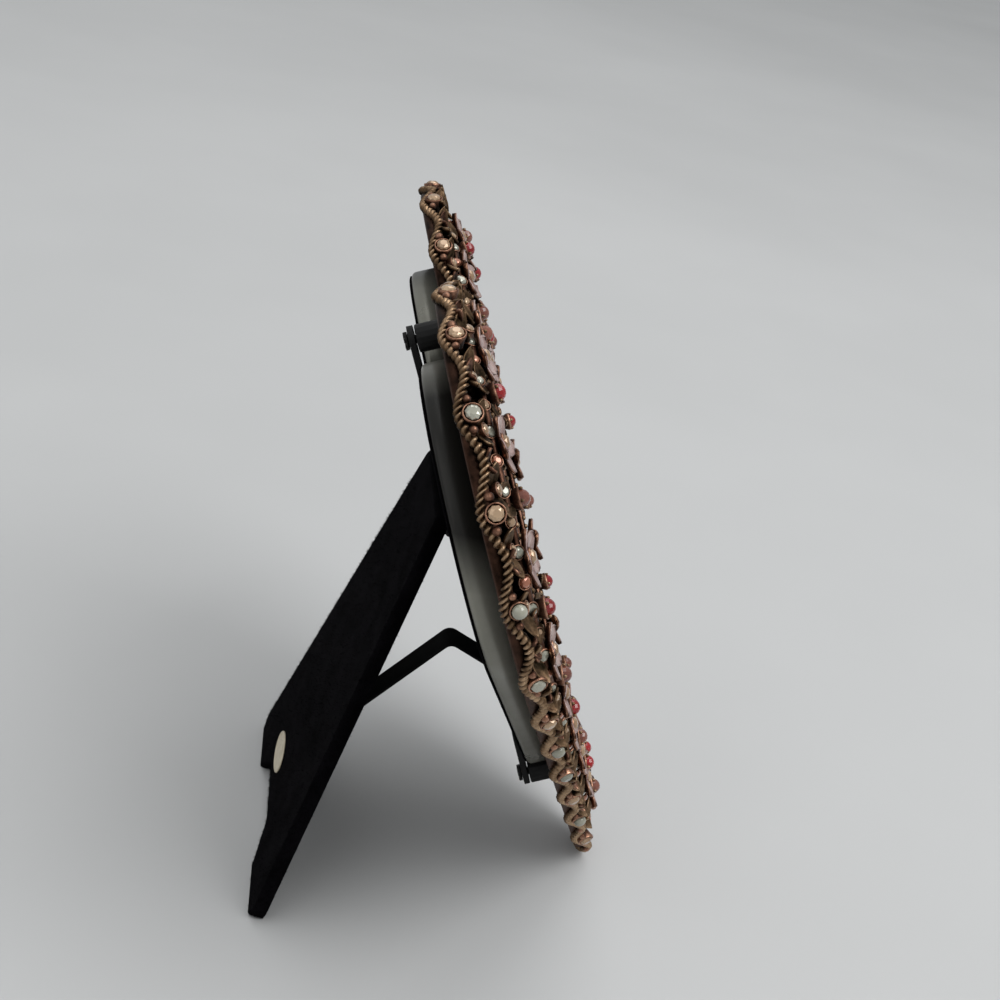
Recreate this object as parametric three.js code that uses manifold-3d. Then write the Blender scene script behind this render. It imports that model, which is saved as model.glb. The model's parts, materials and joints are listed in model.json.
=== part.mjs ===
// Heart-shaped photo frame with a two-layer jewelled border, on an easel leg with two feet.
// Millimetres, +Z up, front towards -Y. In the leaning group, x runs across, y to the back, z up the frame.
import * as THREE from "three";
import { mergeVertices } from "three/addons/utils/BufferGeometryUtils.js";
import Module from "manifold-3d";

// Stance
const LEAN = 22.7;
const TIP_FLAT = 2;

// Heart outlines: lobe radius, lap of each lobe past the middle, lobe height, tip height and radius
const SIGHT = { lobeR: 25.2, lap: 2.9, lobeZ: 94, tipZ: 31.7, tipR: 2.5 };
const BOX = { lobeR: 28.5, lap: 4, lobeZ: 96.2, tipZ: 34, tipR: 7.2 };
const RIM = { lobeR: 37.7, lap: 7.7, lobeZ: 101.2, tipZ: 9, tipR: 7.2 };
const LOBE_STEPS = 22;
const TIP_STEPS = 5;

// Depths, counted to the back from the front of the base plate
const PLATE_THICK = 1.8;
const BOX_DEPTH = 5.2;
const WALL = 1.3;
const GLASS_THICK = 1.5;
const CARD_THICK = 0.4;
const FILLER_THICK = 0.5;
const BOARD_THICK = 1.8;
const VELVET_THICK = 0.5;
const FIT = 0.4;
const GAP = 0.2;
const SEAT = 0.3;

// Rear layer of the border: base plate with a bead row on its edge, fading out in the notch
const BEADS = 84;
const BEAD_SWELL = 1.8;
const BEAD_FADE = 6;
const RIM_WIDTH = 2.6;
const RIM_RISE = 2.2;

// Front layer of the border: rosettes and crystal cups in turn
const RING_LINE = 0.5;
const RING_WIDTH = 6.2;
const RING_THICK = 1.2;
const LAYER_SPACE = 2.4;
const STATIONS = 40;
const ROSETTE_R = 4.5;
const ROSETTE_RISE = 1.1;
const PETALS = 5;
const CUP_R = 2;
const CUP_RISE = 1.9;
const CUP_DEPTH = 1.1;
const CRYSTAL_R = 1.3;
const CRYSTAL_CLEAR = 0.25;
const CRYSTAL_HEIGHT = 2.2;
const CRYSTAL_KINDS = [
  { name: "red_crystal_", colour: 0xb01022 },
  { name: "peach_crystal_", colour: 0xd98a66 },
];
const STANDOFF_R = 1.4;
const STANDOFF_EVERY = 4;
const BEZEL_WIDTH = 2.2;
const BEZEL_RISE = 1.5;

// Turn buttons that hold the back
const POST_R = 2.6;
const TOP_POST_CLEAR = 8.8;
const LOW_POST_CLEAR = 0.7;
const BUTTON_THICK = 1.1;
const BUTTON_END_R = 2.1;
const BUTTON_HOLD = 3.5;
const SCREW_R = 0.8;
const SCREW_CLEAR = 0.3;
const SCREW_HEAD_R = 1.7;
const SCREW_HEAD = 0.7;
const SCREW_SLOT = 0.5;
const SCREW_DEPTH = 3;

// Easel hinge
const HINGE_CLEAR = 2.4;
const LEG_OPEN = 39.2;
const AXIS_OFF = 1.9;
const KNUCKLE_R = 1.5;
const PIN_R = 0.7;
const PIN_CLEAR = 0.15;
const HINGE_WIDTH = 24;
const KNUCKLE_SHARE = 0.34;
const LEAF_THICK = 0.6;
const LEAF_LONG = 8.5;
const RIVET_R = 0.7;
const RIVET_HEAD_R = 1.6;
const RIVET_HEAD = 0.6;
const RIVET_INTO = 1.2;
const RIVET_EDGE = 4;
const HOLE_SIDES = 8;

// Easel leg: flared board with an arch between its two feet
const LEG_HEAD_HALF = 15;
const LEG_HEAD = 2.5;
const LEG_FOOT_HALF = 33;
const LEG_THICK = 2.1;
const LEG_CORNER = 1.6;
const FOOT_ROUND = 2.2;
const FOOT_INNER_HALF = 16.5;
const ARCH_HALF = 10;
const ARCH_RISE = 6.2;

// Ribbon stay
const RIBBON_WIDE = 6.4;
const RIBBON_THICK = 0.5;
const RIBBON_BACK_AT = 38.4;
const RIBBON_LEG_AT = 57.5;
const RIBBON_BACK_PART = 12.4;
const RIBBON_LEG_PART = 34.4;
const RIBBON_TAB = 7;

// Oval label on the leg
const LABEL_WIDE = 13;
const LABEL_TALL = 5.6;
const LABEL_THICK = 0.2;
const LABEL_X = 6;
const LABEL_DOWN = 69.6;

const wasm = await Module();
wasm.setup();
const rad = THREE.MathUtils.degToRad;

// A closed geometry as a solid for adding and cutting.
function solid(geometry) {
  const bare = new THREE.BufferGeometry();
  bare.setAttribute("position", geometry.getAttribute("position"));
  bare.setIndex(geometry.index);
  const merged = mergeVertices(bare, 1e-4);
  const kept = [];
  for (let i = 0; i < merged.index.count; i += 3) {
    const [a, b, c] = [0, 1, 2].map((k) => merged.index.getX(i + k));
    if (a !== b && b !== c && a !== c) kept.push(a, b, c);
  }
  const positions = merged.getAttribute("position").array;
  const mesh = new wasm.Mesh({ numProp: 3, vertProperties: positions, triVerts: new Uint32Array(kept) });
  return new wasm.Manifold(mesh);
}

function geometryOf(body) {
  const mesh = body.getMesh();
  const geometry = new THREE.BufferGeometry();
  geometry.setAttribute("position", new THREE.BufferAttribute(mesh.vertProperties, mesh.numProp));
  geometry.setIndex(new THREE.BufferAttribute(mesh.triVerts, 1));
  geometry.computeVertexNormals();
  return geometry;
}

function join(...pieces) {
  return geometryOf(wasm.Manifold.union(pieces.map(solid)));
}

function cut(base, ...tools) {
  return geometryOf(tools.map(solid).reduce((left, tool) => left.subtract(tool), solid(base)));
}

// A flat piece standing in the x-z plane between two depths.
function slab(shape, front, back) {
  const settings = { depth: back - front, bevelEnabled: false, curveSegments: 8 };
  const geometry = new THREE.ExtrudeGeometry(shape, settings);
  return geometry.rotateX(Math.PI / 2).translate(0, back, 0);
}

// A round rod along y between two depths.
function rod(x, z, radius, front, back, sides = 10) {
  return new THREE.CylinderGeometry(radius, radius, back - front, sides).translate(x, (front + back) / 2, z);
}

function block(xs, ys, zs) {
  const [x, y, z] = [xs, ys, zs].map(([low, high]) => (low + high) / 2);
  return new THREE.BoxGeometry(xs[1] - xs[0], ys[1] - ys[0], zs[1] - zs[0]).translate(x, y, z);
}

function arc(x, z, radius, from, to, steps) {
  return Array.from({ length: steps + 1 }, (_, i) => {
    const angle = from + ((to - from) * i) / steps;
    return new THREE.Vector2(x + radius * Math.cos(angle), z + radius * Math.sin(angle));
  });
}

// Heart outline from the tip up the right side, over both lobes and down the left side.
function heartPoints({ lobeR, lap, lobeZ, tipZ, tipR }) {
  const lobeX = lobeR - lap;
  const rise = Math.atan2(lobeZ - tipZ, lobeX);
  const reach = Math.hypot(lobeZ - tipZ, lobeX);
  const side = rise - Math.PI / 2 - Math.asin((lobeR - tipR) / reach);
  const notch = Math.PI - Math.acos(lobeX / lobeR);
  const right = [
    ...arc(0, tipZ, tipR, -Math.PI / 2, side, TIP_STEPS),
    ...arc(lobeX, lobeZ, lobeR, side, notch, LOBE_STEPS),
  ];
  const left = right.slice(1, -1).reverse();
  return [...right, ...left.map((point) => new THREE.Vector2(-point.x, point.y))];
}

function grown(outline, by) {
  return { ...outline, lobeR: outline.lobeR + by, lap: outline.lap + by, tipR: outline.tipR + by };
}

// An outline between the sight opening (0) and the rim (1).
function between(share) {
  const mixed = Object.keys(SIGHT).map((key) => [key, THREE.MathUtils.lerp(SIGHT[key], RIM[key], share)]);
  return Object.fromEntries(mixed);
}

function heartShape(outline, hole) {
  const shape = new THREE.Shape(heartPoints(outline));
  if (hole) shape.holes.push(new THREE.Path(heartPoints(hole)));
  return shape;
}

const tipOf = (outline) => heartPoints(outline)[0].y;
const notchOf = (outline) => heartPoints(outline)[TIP_STEPS + LOBE_STEPS + 1].y;

// Evenly spaced places round an outline, the first at the tip.
function places(outline, count) {
  const points = heartPoints(outline);
  const loop = new THREE.Path([...points, points[0]]);
  return loop.getSpacedPoints(count).slice(0, count);
}

// Depths of the layers
const plateBack = PLATE_THICK;
const boxFront = plateBack + GAP;
const boxBack = boxFront + BOX_DEPTH;
const glassFront = plateBack + GAP;
const cardFront = glassFront + GLASS_THICK + GAP;
const fillerFront = cardFront + CARD_THICK + GAP;
const boardFront = fillerFront + FILLER_THICK + GAP;
const velvetFront = boardFront + BOARD_THICK + GAP;
const backFace = velvetFront + VELVET_THICK;
const ringBack = -LAYER_SPACE;
const ringFront = ringBack - RING_THICK;

// What lies in the box, and the hinge on its back below the top button
const inner = grown(BOX, -WALL - FIT);
const leafStart = KNUCKLE_R + SEAT;
const leafEnd = leafStart + LEAF_LONG;
const hingeZ = notchOf(inner) - BUTTON_HOLD - BUTTON_END_R - HINGE_CLEAR - leafEnd;

const root = new THREE.Group();
root.name = "heart_photo_frame";
const standing = new THREE.Group();
root.add(standing);

// The leaning frame stands on a flat at its tip, at height 0.
const frame = new THREE.Group();
frame.rotation.x = -rad(LEAN);
frame.position.z = plateBack * Math.sin(rad(LEAN)) - TIP_FLAT;
standing.add(frame);

const hinge = new THREE.Group();
hinge.position.set(0, backFace + AXIS_OFF, hingeZ);
frame.add(hinge);

const leg = new THREE.Group();
leg.rotation.x = rad(LEG_OPEN);
hinge.add(leg);
root.updateMatrixWorld(true);

function add(group, name, geometry, colour, roughness, metalness) {
  const material = new THREE.MeshStandardMaterial({ color: colour, roughness, metalness });
  const mesh = new THREE.Mesh(geometry, material);
  mesh.name = name;
  group.add(mesh);
}

const copper = (group, name, geometry) => add(group, name, geometry, 0x9a5f45, 0.35, 1);
const pewter = (group, name, geometry) => add(group, name, geometry, 0x8b9188, 0.45, 1);
const blackMetal = (group, name, geometry) => add(group, name, geometry, 0x141416, 0.5, 0.6);
const velvet = (group, name, geometry) => add(group, name, geometry, 0x0b0b0d, 1, 0);

// Everything under the table top, in a group's own coordinates.
function table(group) {
  const reach = 5 * RIM.lobeR;
  const under = block([-reach, reach], [-reach, reach], [-reach, 0]);
  return under.applyMatrix4(group.matrixWorld.clone().invert());
}

// Rear layer: base plate and beaded rim, flat where it stands
const rimPoints = places(RIM, BEADS * 4);
const beaded = rimPoints.map((point, i) => {
  const before = rimPoints[(i + rimPoints.length - 1) % rimPoints.length];
  const after = rimPoints[(i + 1) % rimPoints.length];
  const along = after.clone().sub(before).normalize();
  const fade = point.y > RIM.lobeZ ? Math.min(1, Math.abs(point.x) / BEAD_FADE) : 1;
  const swell = BEAD_SWELL * fade * Math.abs(Math.sin((Math.PI * i) / 4));
  return point.clone().add(new THREE.Vector2(along.y, -along.x).multiplyScalar(swell));
});
const rimShape = new THREE.Shape(beaded);
rimShape.holes.push(new THREE.Path(heartPoints(grown(RIM, -RIM_WIDTH))));
const rearWreath = join(
  slab(heartShape(grown(RIM, -BEAD_SWELL / 2), SIGHT), 0, plateBack),
  slab(rimShape, -RIM_RISE, plateBack),
);
copper(frame, "rear_wreath", cut(rearWreath, table(frame)));

// Raised edge round the sight opening
const bezelShape = heartShape(grown(SIGHT, BEZEL_WIDTH), grown(SIGHT, BEZEL_WIDTH / 10));
copper(frame, "sight_bezel", slab(bezelShape, -SEAT - BEZEL_RISE, -SEAT));

// Front layer: ring with rosettes, crystal cups and standoffs
const ringLine = between(RING_LINE);
const stations = places(ringLine, STATIONS);
const rosettes = stations.filter((_, i) => i % 2 === 0);
const cups = stations.filter((_, i) => i % 2 === 1);
const standoffs = stations.filter((_, i) => i % STANDOFF_EVERY === 0);

function rosette(x, z) {
  const outline = Array.from({ length: PETALS * 4 }, (_, i) => {
    const angle = (2 * Math.PI * i) / (PETALS * 4);
    const radius = ROSETTE_R * (0.8 + 0.2 * Math.abs(Math.sin((PETALS * angle) / 2)));
    return new THREE.Vector2(x + radius * Math.sin(angle), z + radius * Math.cos(angle));
  });
  return slab(new THREE.Shape(outline.reverse()), ringFront - ROSETTE_RISE, ringBack);
}

const cupFront = ringFront - CUP_RISE;
const cupFloor = cupFront + CUP_DEPTH;
const boreR = CRYSTAL_R + CRYSTAL_CLEAR;
const ring = join(
  slab(heartShape(grown(ringLine, RING_WIDTH / 2), grown(ringLine, -RING_WIDTH / 2)), ringFront, ringBack),
  ...rosettes.map((at) => rosette(at.x, at.y)),
  ...cups.map((at) => rod(at.x, at.y, CUP_R, cupFront, ringBack, 8)),
  ...standoffs.map((at) => rod(at.x, at.y, STANDOFF_R, ringBack - RING_THICK / 2, -SEAT, 8)),
);
const bores = cups.map((at) => rod(at.x, at.y, boreR, cupFront - 1, cupFloor, 8));
copper(frame, "front_wreath", cut(ring, ...bores));

cups.forEach((at, i) => {
  const back = cupFloor - CRYSTAL_CLEAR;
  const front = back - CRYSTAL_HEIGHT;
  const profile = [
    new THREE.Vector2(0, front),
    new THREE.Vector2(CRYSTAL_R * 0.55, front),
    new THREE.Vector2(CRYSTAL_R, front + CRYSTAL_HEIGHT * 0.4),
    new THREE.Vector2(0, back),
  ];
  const crystal = new THREE.LatheGeometry(profile, 8).translate(at.x, 0, at.y);
  const kind = CRYSTAL_KINDS[i % CRYSTAL_KINDS.length];
  const number = Math.floor(i / CRYSTAL_KINDS.length) + 1;
  add(frame, kind.name + String(number).padStart(2, "0"), crystal, kind.colour, 0.08, 0);
});

// Box behind the border, with the glazing and back inside it
pewter(frame, "rear_box", slab(heartShape(BOX, grown(BOX, -WALL)), boxFront, boxBack));
add(frame, "glass_pane", slab(heartShape(inner), glassFront, glassFront + GLASS_THICK), 0xdfeaea, 0.03, 0);
add(frame, "photo_card", slab(heartShape(inner), cardFront, cardFront + CARD_THICK), 0xe9e4da, 0.8, 0);
add(frame, "filler_card", slab(heartShape(inner), fillerFront, fillerFront + FILLER_THICK), 0x9a9286, 0.9, 0);

// Rivet places on the back, across and up from the hinge
const leafMid = leafStart + LEAF_LONG * 0.6;
const rivetSpread = HINGE_WIDTH / 2 - RIVET_EDGE;
const tabMid = RIBBON_TAB * 0.55;
const backRivets = [
  [-rivetSpread, leafMid],
  [rivetSpread, leafMid],
  [0, -RIBBON_BACK_AT - tabMid],
];
const holeR = RIVET_R + SEAT;
const backHoles = backRivets.map(([x, z]) => {
  return rod(x, hingeZ + z, holeR, boardFront - 1, backFace + 1, HOLE_SIDES);
});
const backBoard = slab(heartShape(inner), boardFront, boardFront + BOARD_THICK);
add(frame, "back_board", cut(backBoard, ...backHoles), 0x2a2623, 0.9, 0);
velvet(frame, "back_velvet", cut(slab(heartShape(inner), velvetFront, backFace), ...backHoles));

// Turn buttons: a post on the border, a button over the edge of the back, and a slotted screw
const postBack = backFace;
const buttonFront = postBack + SEAT;
const buttonBack = buttonFront + BUTTON_THICK;

function turnButton(name, z, edge) {
  const way = Math.sign(edge - z);
  const reach = Math.abs(edge - z) + BUTTON_HOLD;
  const post = rod(0, z, POST_R, plateBack + GAP, postBack, 16);
  const postHole = rod(0, z, SCREW_R + SCREW_CLEAR, postBack - SCREW_DEPTH - SEAT, postBack + 1, HOLE_SIDES);
  blackMetal(frame, name + "_post", cut(post, postHole));
  const outline = new THREE.Shape();
  outline.absarc(0, 0, POST_R, Math.PI, 2 * Math.PI);
  outline.absarc(0, reach, BUTTON_END_R, 0, Math.PI);
  const plate = slab(outline, buttonFront, buttonBack).rotateY(way > 0 ? 0 : Math.PI).translate(0, 0, z);
  const buttonHole = rod(0, z, SCREW_R + SCREW_CLEAR, buttonFront - 1, buttonBack + 1, HOLE_SIDES);
  blackMetal(frame, name, cut(plate, buttonHole));
  const headFront = buttonBack + GAP;
  const headBack = headFront + SCREW_HEAD;
  const screw = join(
    rod(0, z, SCREW_R, postBack - SCREW_DEPTH, headBack - SCREW_HEAD / 2, HOLE_SIDES),
    rod(0, z, SCREW_HEAD_R, headFront, headBack, 12),
  );
  const half = SCREW_SLOT / 2;
  const slot = block([-5, 5], [headBack - SCREW_HEAD / 2, headBack + 1], [z - half, z + half]);
  blackMetal(frame, name + "_screw", cut(screw, slot));
}

turnButton("turn_button_top", notchOf(BOX) + POST_R + TOP_POST_CLEAR, notchOf(inner));
turnButton("turn_button_low", tipOf(BOX) - POST_R - LOW_POST_CLEAR, tipOf(inner));

// Hinge: a leaf on the back with two knuckles, a leaf on the leg with one, and the pin
const knuckleHalf = (HINGE_WIDTH * KNUCKLE_SHARE) / 2;
const halfHinge = HINGE_WIDTH / 2;

function barrel(from, to, radius) {
  const tube = new THREE.CylinderGeometry(radius, radius, to - from, 14);
  return tube.rotateZ(Math.PI / 2).translate((from + to) / 2, 0, 0);
}

const pinBore = barrel(-halfHinge - 1, halfHinge + 1, PIN_R + PIN_CLEAR);
const leafBase = AXIS_OFF - GAP / 2;
const leafYs = [-leafBase, LEAF_THICK - leafBase];
const sideKnuckles = [
  [-halfHinge, -knuckleHalf - SEAT],
  [knuckleHalf + SEAT, halfHinge],
];
const backLeaf = join(
  block([-halfHinge, halfHinge], leafYs, [leafStart, leafEnd]),
  ...sideKnuckles.map(([from, to]) => block([from, to], leafYs, [0, leafStart + 1])),
  ...sideKnuckles.map(([from, to]) => barrel(from, to, KNUCKLE_R)),
);
const leafHole = ([x, z]) => rod(x, z, holeR, -leafBase - 1, leafBase, HOLE_SIDES);
const leafHoles = backRivets.slice(0, 2).map(leafHole);
blackMetal(hinge, "hinge_leaf_back", cut(backLeaf, pinBore, ...leafHoles));
blackMetal(hinge, "hinge_pin", barrel(-halfHinge, halfHinge, PIN_R));

const legLeafYs = [leafBase - LEAF_THICK, leafBase];
const middle = [-knuckleHalf, knuckleHalf];
const legLeaf = join(
  block([-halfHinge, halfHinge], legLeafYs, [-leafEnd, -leafStart]),
  block(middle, legLeafYs, [-leafStart - 1, 0]),
  barrel(...middle, KNUCKLE_R),
);
const legRivets = [
  [-rivetSpread, -leafMid],
  [rivetSpread, -leafMid],
  [0, -RIBBON_LEG_AT - tabMid],
];
const legHoles = legRivets.map(([x, z]) => {
  return rod(x, z, holeR, -AXIS_OFF, AXIS_OFF + RIVET_INTO + SEAT, HOLE_SIDES);
});
blackMetal(leg, "hinge_leaf_leg", cut(legLeaf, pinBore, ...legHoles));

// Rivets: the head lies on the leaf or ribbon, and the shank goes into the board
function rivet(group, name, x, z, headAt, into, way) {
  const profile = [
    new THREE.Vector2(0, -into),
    new THREE.Vector2(RIVET_R, -into),
    new THREE.Vector2(RIVET_R, 0),
    new THREE.Vector2(RIVET_HEAD_R, 0),
    new THREE.Vector2(RIVET_HEAD_R * 0.7, RIVET_HEAD * 0.8),
    new THREE.Vector2(0, RIVET_HEAD),
  ];
  const geometry = new THREE.LatheGeometry(profile, 10).rotateX(way > 0 ? 0 : Math.PI);
  blackMetal(group, name, geometry.translate(x, headAt, z));
}

const leafTop = leafBase - LEAF_THICK - GAP / 2;
const ribbonOff = AXIS_OFF - GAP / 2 - RIBBON_THICK / 2;
const ribbonTop = ribbonOff - RIBBON_THICK / 2 - GAP / 2;
const intoBack = VELVET_THICK + GAP + RIVET_INTO;
rivet(hinge, "hinge_rivet_back_1", ...backRivets[0], -leafTop, AXIS_OFF - leafTop + intoBack, 1);
rivet(hinge, "hinge_rivet_back_2", ...backRivets[1], -leafTop, AXIS_OFF - leafTop + intoBack, 1);
rivet(hinge, "ribbon_rivet_back", ...backRivets[2], -ribbonTop, AXIS_OFF - ribbonTop + intoBack, 1);
rivet(leg, "hinge_rivet_leg_1", ...legRivets[0], leafTop, AXIS_OFF - leafTop + RIVET_INTO, -1);
rivet(leg, "hinge_rivet_leg_2", ...legRivets[1], leafTop, AXIS_OFF - leafTop + RIVET_INTO, -1);
rivet(leg, "ribbon_rivet_leg", ...legRivets[2], ribbonTop, AXIS_OFF - ribbonTop + RIVET_INTO, -1);

// Leg: a board with a velvet face, cut off level where its feet stand
const legOuter = AXIS_OFF + LEG_THICK;
const legFace = legOuter + GAP / 2 + VELVET_THICK;

// Distance down the leg where its outer face meets the table.
const faceHeight = (down) => new THREE.Vector3(0, legFace, -down).applyMatrix4(leg.matrixWorld).z;
const stand = faceHeight(0) / (faceHeight(0) - faceHeight(1));
const SPARE = 4;
const legHalf = [
  [ARCH_HALF, stand - ARCH_RISE],
  [FOOT_INNER_HALF, stand],
  [FOOT_INNER_HALF, stand + SPARE],
  [LEG_FOOT_HALF - FOOT_ROUND, stand + SPARE],
  [LEG_FOOT_HALF - FOOT_ROUND, stand],
  [LEG_FOOT_HALF, stand - FOOT_ROUND],
  [LEG_HEAD_HALF, -LEG_HEAD],
].map(([x, down]) => new THREE.Vector2(x, -down));
const legCorners = [...legHalf, ...legHalf.map((at) => new THREE.Vector2(-at.x, at.y)).reverse()];

// A polygon with its corners rounded off.
function rounded(corners, radius) {
  const shape = new THREE.Shape();
  corners.forEach((corner, i) => {
    const before = corners[(i + corners.length - 1) % corners.length];
    const after = corners[(i + 1) % corners.length];
    const short = (other) => Math.min(radius, corner.distanceTo(other) / 2.5);
    const from = corner.clone().add(before.clone().sub(corner).setLength(short(before)));
    const to = corner.clone().add(after.clone().sub(corner).setLength(short(after)));
    if (i === 0) shape.moveTo(from.x, from.y);
    else shape.lineTo(from.x, from.y);
    shape.quadraticCurveTo(corner.x, corner.y, to.x, to.y);
  });
  return shape;
}

const legShape = rounded(legCorners, LEG_CORNER);
const legBoard = cut(slab(legShape, AXIS_OFF, legOuter), table(leg), ...legHoles);
add(leg, "leg_board", legBoard, 0x1a1817, 0.9, 0);
velvet(leg, "leg_velvet", cut(slab(legShape, legOuter + GAP / 2, legFace), table(leg)));

// Blank oval label
const oval = new THREE.Shape();
oval.absellipse(LABEL_X, -LABEL_DOWN, LABEL_WIDE / 2, LABEL_TALL / 2, 0, 2 * Math.PI);
const labelFront = legFace + GAP / 2;
add(leg, "label_oval", slab(oval, labelFront, labelFront + LABEL_THICK), 0xd9c9a0, 0.5, 0);

// Ribbon stay from the back to the leg, creased towards the hinge; down is how far below the hinge
const open = rad(LEG_OPEN);
const legSpot = (down, out) => new THREE.Vector2(down, out).rotateAround(new THREE.Vector2(), open);
const backEnd = new THREE.Vector2(RIBBON_BACK_AT, -ribbonOff);
const legEnd = legSpot(RIBBON_LEG_AT, ribbonOff);
const span = legEnd.clone().sub(backEnd);
const spread = span.length();
const across = spread ** 2 + RIBBON_BACK_PART ** 2 - RIBBON_LEG_PART ** 2;
const bend = Math.acos(across / (2 * spread * RIBBON_BACK_PART));
const heading = span.angle() + bend;
const creaseStep = new THREE.Vector2(RIBBON_BACK_PART, 0).rotateAround(new THREE.Vector2(), heading);
const crease = backEnd.clone().add(creaseStep);
const ribbonLine = [
  new THREE.Vector2(RIBBON_BACK_AT + RIBBON_TAB, -ribbonOff),
  backEnd,
  crease,
  legEnd,
  legSpot(RIBBON_LEG_AT + RIBBON_TAB, ribbonOff),
];

// One side of a bent strip, half a thickness off its middle line.
function stripSide(line, half) {
  return line.map((point, i) => {
    const into = point.clone().sub(line[i - 1] ?? line[i + 1]).multiplyScalar(i > 0 ? 1 : -1).normalize();
    const away = (line[i + 1] ?? point.clone().add(into)).clone().sub(point).normalize();
    const normal = new THREE.Vector2(-into.y - away.y, into.x + away.x).normalize();
    const mitre = half / normal.dot(new THREE.Vector2(-into.y, into.x));
    return point.clone().add(normal.multiplyScalar(mitre));
  });
}

const ribbonFace = stripSide(ribbonLine, RIBBON_THICK / 2);
const ribbonUnder = stripSide(ribbonLine, -RIBBON_THICK / 2);
const ribbonShape = new THREE.Shape([...ribbonFace, ...ribbonUnder.reverse()]);
const ribbon = new THREE.ExtrudeGeometry(ribbonShape, { depth: RIBBON_WIDE, bevelEnabled: false });
ribbon.rotateY(Math.PI / 2).translate(-RIBBON_WIDE / 2, 0, 0);
const ribbonHole = rod(...backRivets[2], holeR, -AXIS_OFF - 1, 0, HOLE_SIDES);
const legHole = rod(...legRivets[2], holeR, 0, AXIS_OFF + 1, HOLE_SIDES).applyMatrix4(leg.matrix);
velvet(hinge, "ribbon_stay", cut(ribbon, ribbonHole, legHole));

// The part's origin is under the middle of the whole, on the table
const size = new THREE.Box3().setFromObject(root, true);
standing.position.set(-(size.min.x + size.max.x) / 2, -(size.min.y + size.max.y) / 2, -size.min.z);

export default root;
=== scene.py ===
import json
import math
import random

import bmesh
import bpy
from mathutils import Matrix, Vector


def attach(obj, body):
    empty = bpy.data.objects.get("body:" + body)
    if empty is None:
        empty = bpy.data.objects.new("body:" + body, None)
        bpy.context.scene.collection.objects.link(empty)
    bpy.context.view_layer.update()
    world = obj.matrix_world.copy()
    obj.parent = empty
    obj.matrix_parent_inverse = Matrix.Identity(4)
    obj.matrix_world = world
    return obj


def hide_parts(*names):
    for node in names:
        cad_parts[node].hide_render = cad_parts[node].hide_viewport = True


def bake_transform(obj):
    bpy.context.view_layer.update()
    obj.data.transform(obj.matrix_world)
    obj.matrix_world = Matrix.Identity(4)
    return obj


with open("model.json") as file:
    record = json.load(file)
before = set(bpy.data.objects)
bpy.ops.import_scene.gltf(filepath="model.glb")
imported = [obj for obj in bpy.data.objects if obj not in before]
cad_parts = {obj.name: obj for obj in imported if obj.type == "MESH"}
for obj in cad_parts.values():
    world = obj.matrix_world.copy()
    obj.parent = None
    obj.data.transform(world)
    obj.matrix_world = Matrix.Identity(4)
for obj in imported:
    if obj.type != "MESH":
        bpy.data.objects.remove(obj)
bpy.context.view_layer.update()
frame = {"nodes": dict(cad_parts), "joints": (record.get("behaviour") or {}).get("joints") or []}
scene = bpy.context.scene
scene.view_settings.view_transform = "Standard"

# Table and light
# The frame stands on a plain pale table under broad, soft lamps.
# None of this is part of the frame.
TABLE_HALF = 6.0
TABLE_LOW = (0.475, 0.48, 0.48, 1)
TABLE_HIGH = (0.52, 0.525, 0.525, 1)
SKY_LOW = (0.38, 0.39, 0.40, 1)
SKY_HIGH = (0.62, 0.63, 0.635, 1)
LAMPS = (
    ("key_lamp", (-0.50, -0.70, 1.25), 0.90, 11.0),
    ("fill_lamp", (-0.60, 0.95, 0.80), 1.20, 2.5),
    ("top_lamp", (0.45, -0.10, 1.30), 0.90, 4.0),
)
LAMP_AIM = Vector((0, 0, 0.06))


def new_group(name, inputs, outputs):
    """A shader node group: its tree, its named inputs with their usual values, and its output node."""
    group = bpy.data.node_groups.new(name, "ShaderNodeTree")
    for label, usual in inputs.items():
        kind = "NodeSocketColor" if isinstance(usual, tuple) else "NodeSocketFloat"
        group.interface.new_socket(label, in_out="INPUT", socket_type=kind).default_value = usual
    for label, kind in outputs.items():
        group.interface.new_socket(label, in_out="OUTPUT", socket_type=kind)
    return group, group.nodes.new("NodeGroupInput").outputs, group.nodes.new("NodeGroupOutput")


def fill(tree, node, **values):
    """Sets a node's properties and inputs by name; an input that is given a socket is linked to it."""
    for key, value in values.items():
        label = key.replace("_", " ")
        if label not in node.inputs:
            setattr(node, key, value)
        elif isinstance(value, bpy.types.NodeSocket):
            tree.links.new(value, node.inputs[label])
        else:
            node.inputs[label].default_value = value
    return node


def add(tree, kind, **values):
    """A new shader node, filled in; what it puts out is returned."""
    return fill(tree, tree.nodes.new("ShaderNode" + kind), **values).outputs


def reckon(tree, operation, *values):
    """A sum on the values of some sockets."""
    node = fill(tree, tree.nodes.new("ShaderNodeMath"), operation=operation)
    for value, socket in zip(values, node.inputs):
        tree.links.new(value, socket)
    return node.outputs["Value"]


def mix_colours(tree, factor, low, high):
    """A colour that goes from low to high with a factor."""
    return add(tree, "Mix", data_type="RGBA", Factor=factor, A=low, B=high)["Result"]


def stretched(tree, value, from_low, from_high, to_low=0.0, to_high=1.0):
    """A value's range stretched to another, with its ends held."""
    ends = {"From_Min": from_low, "From_Max": from_high, "To_Min": to_low, "To_Max": to_high}
    return add(tree, "MapRange", Value=value, **ends)["Result"]


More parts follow.
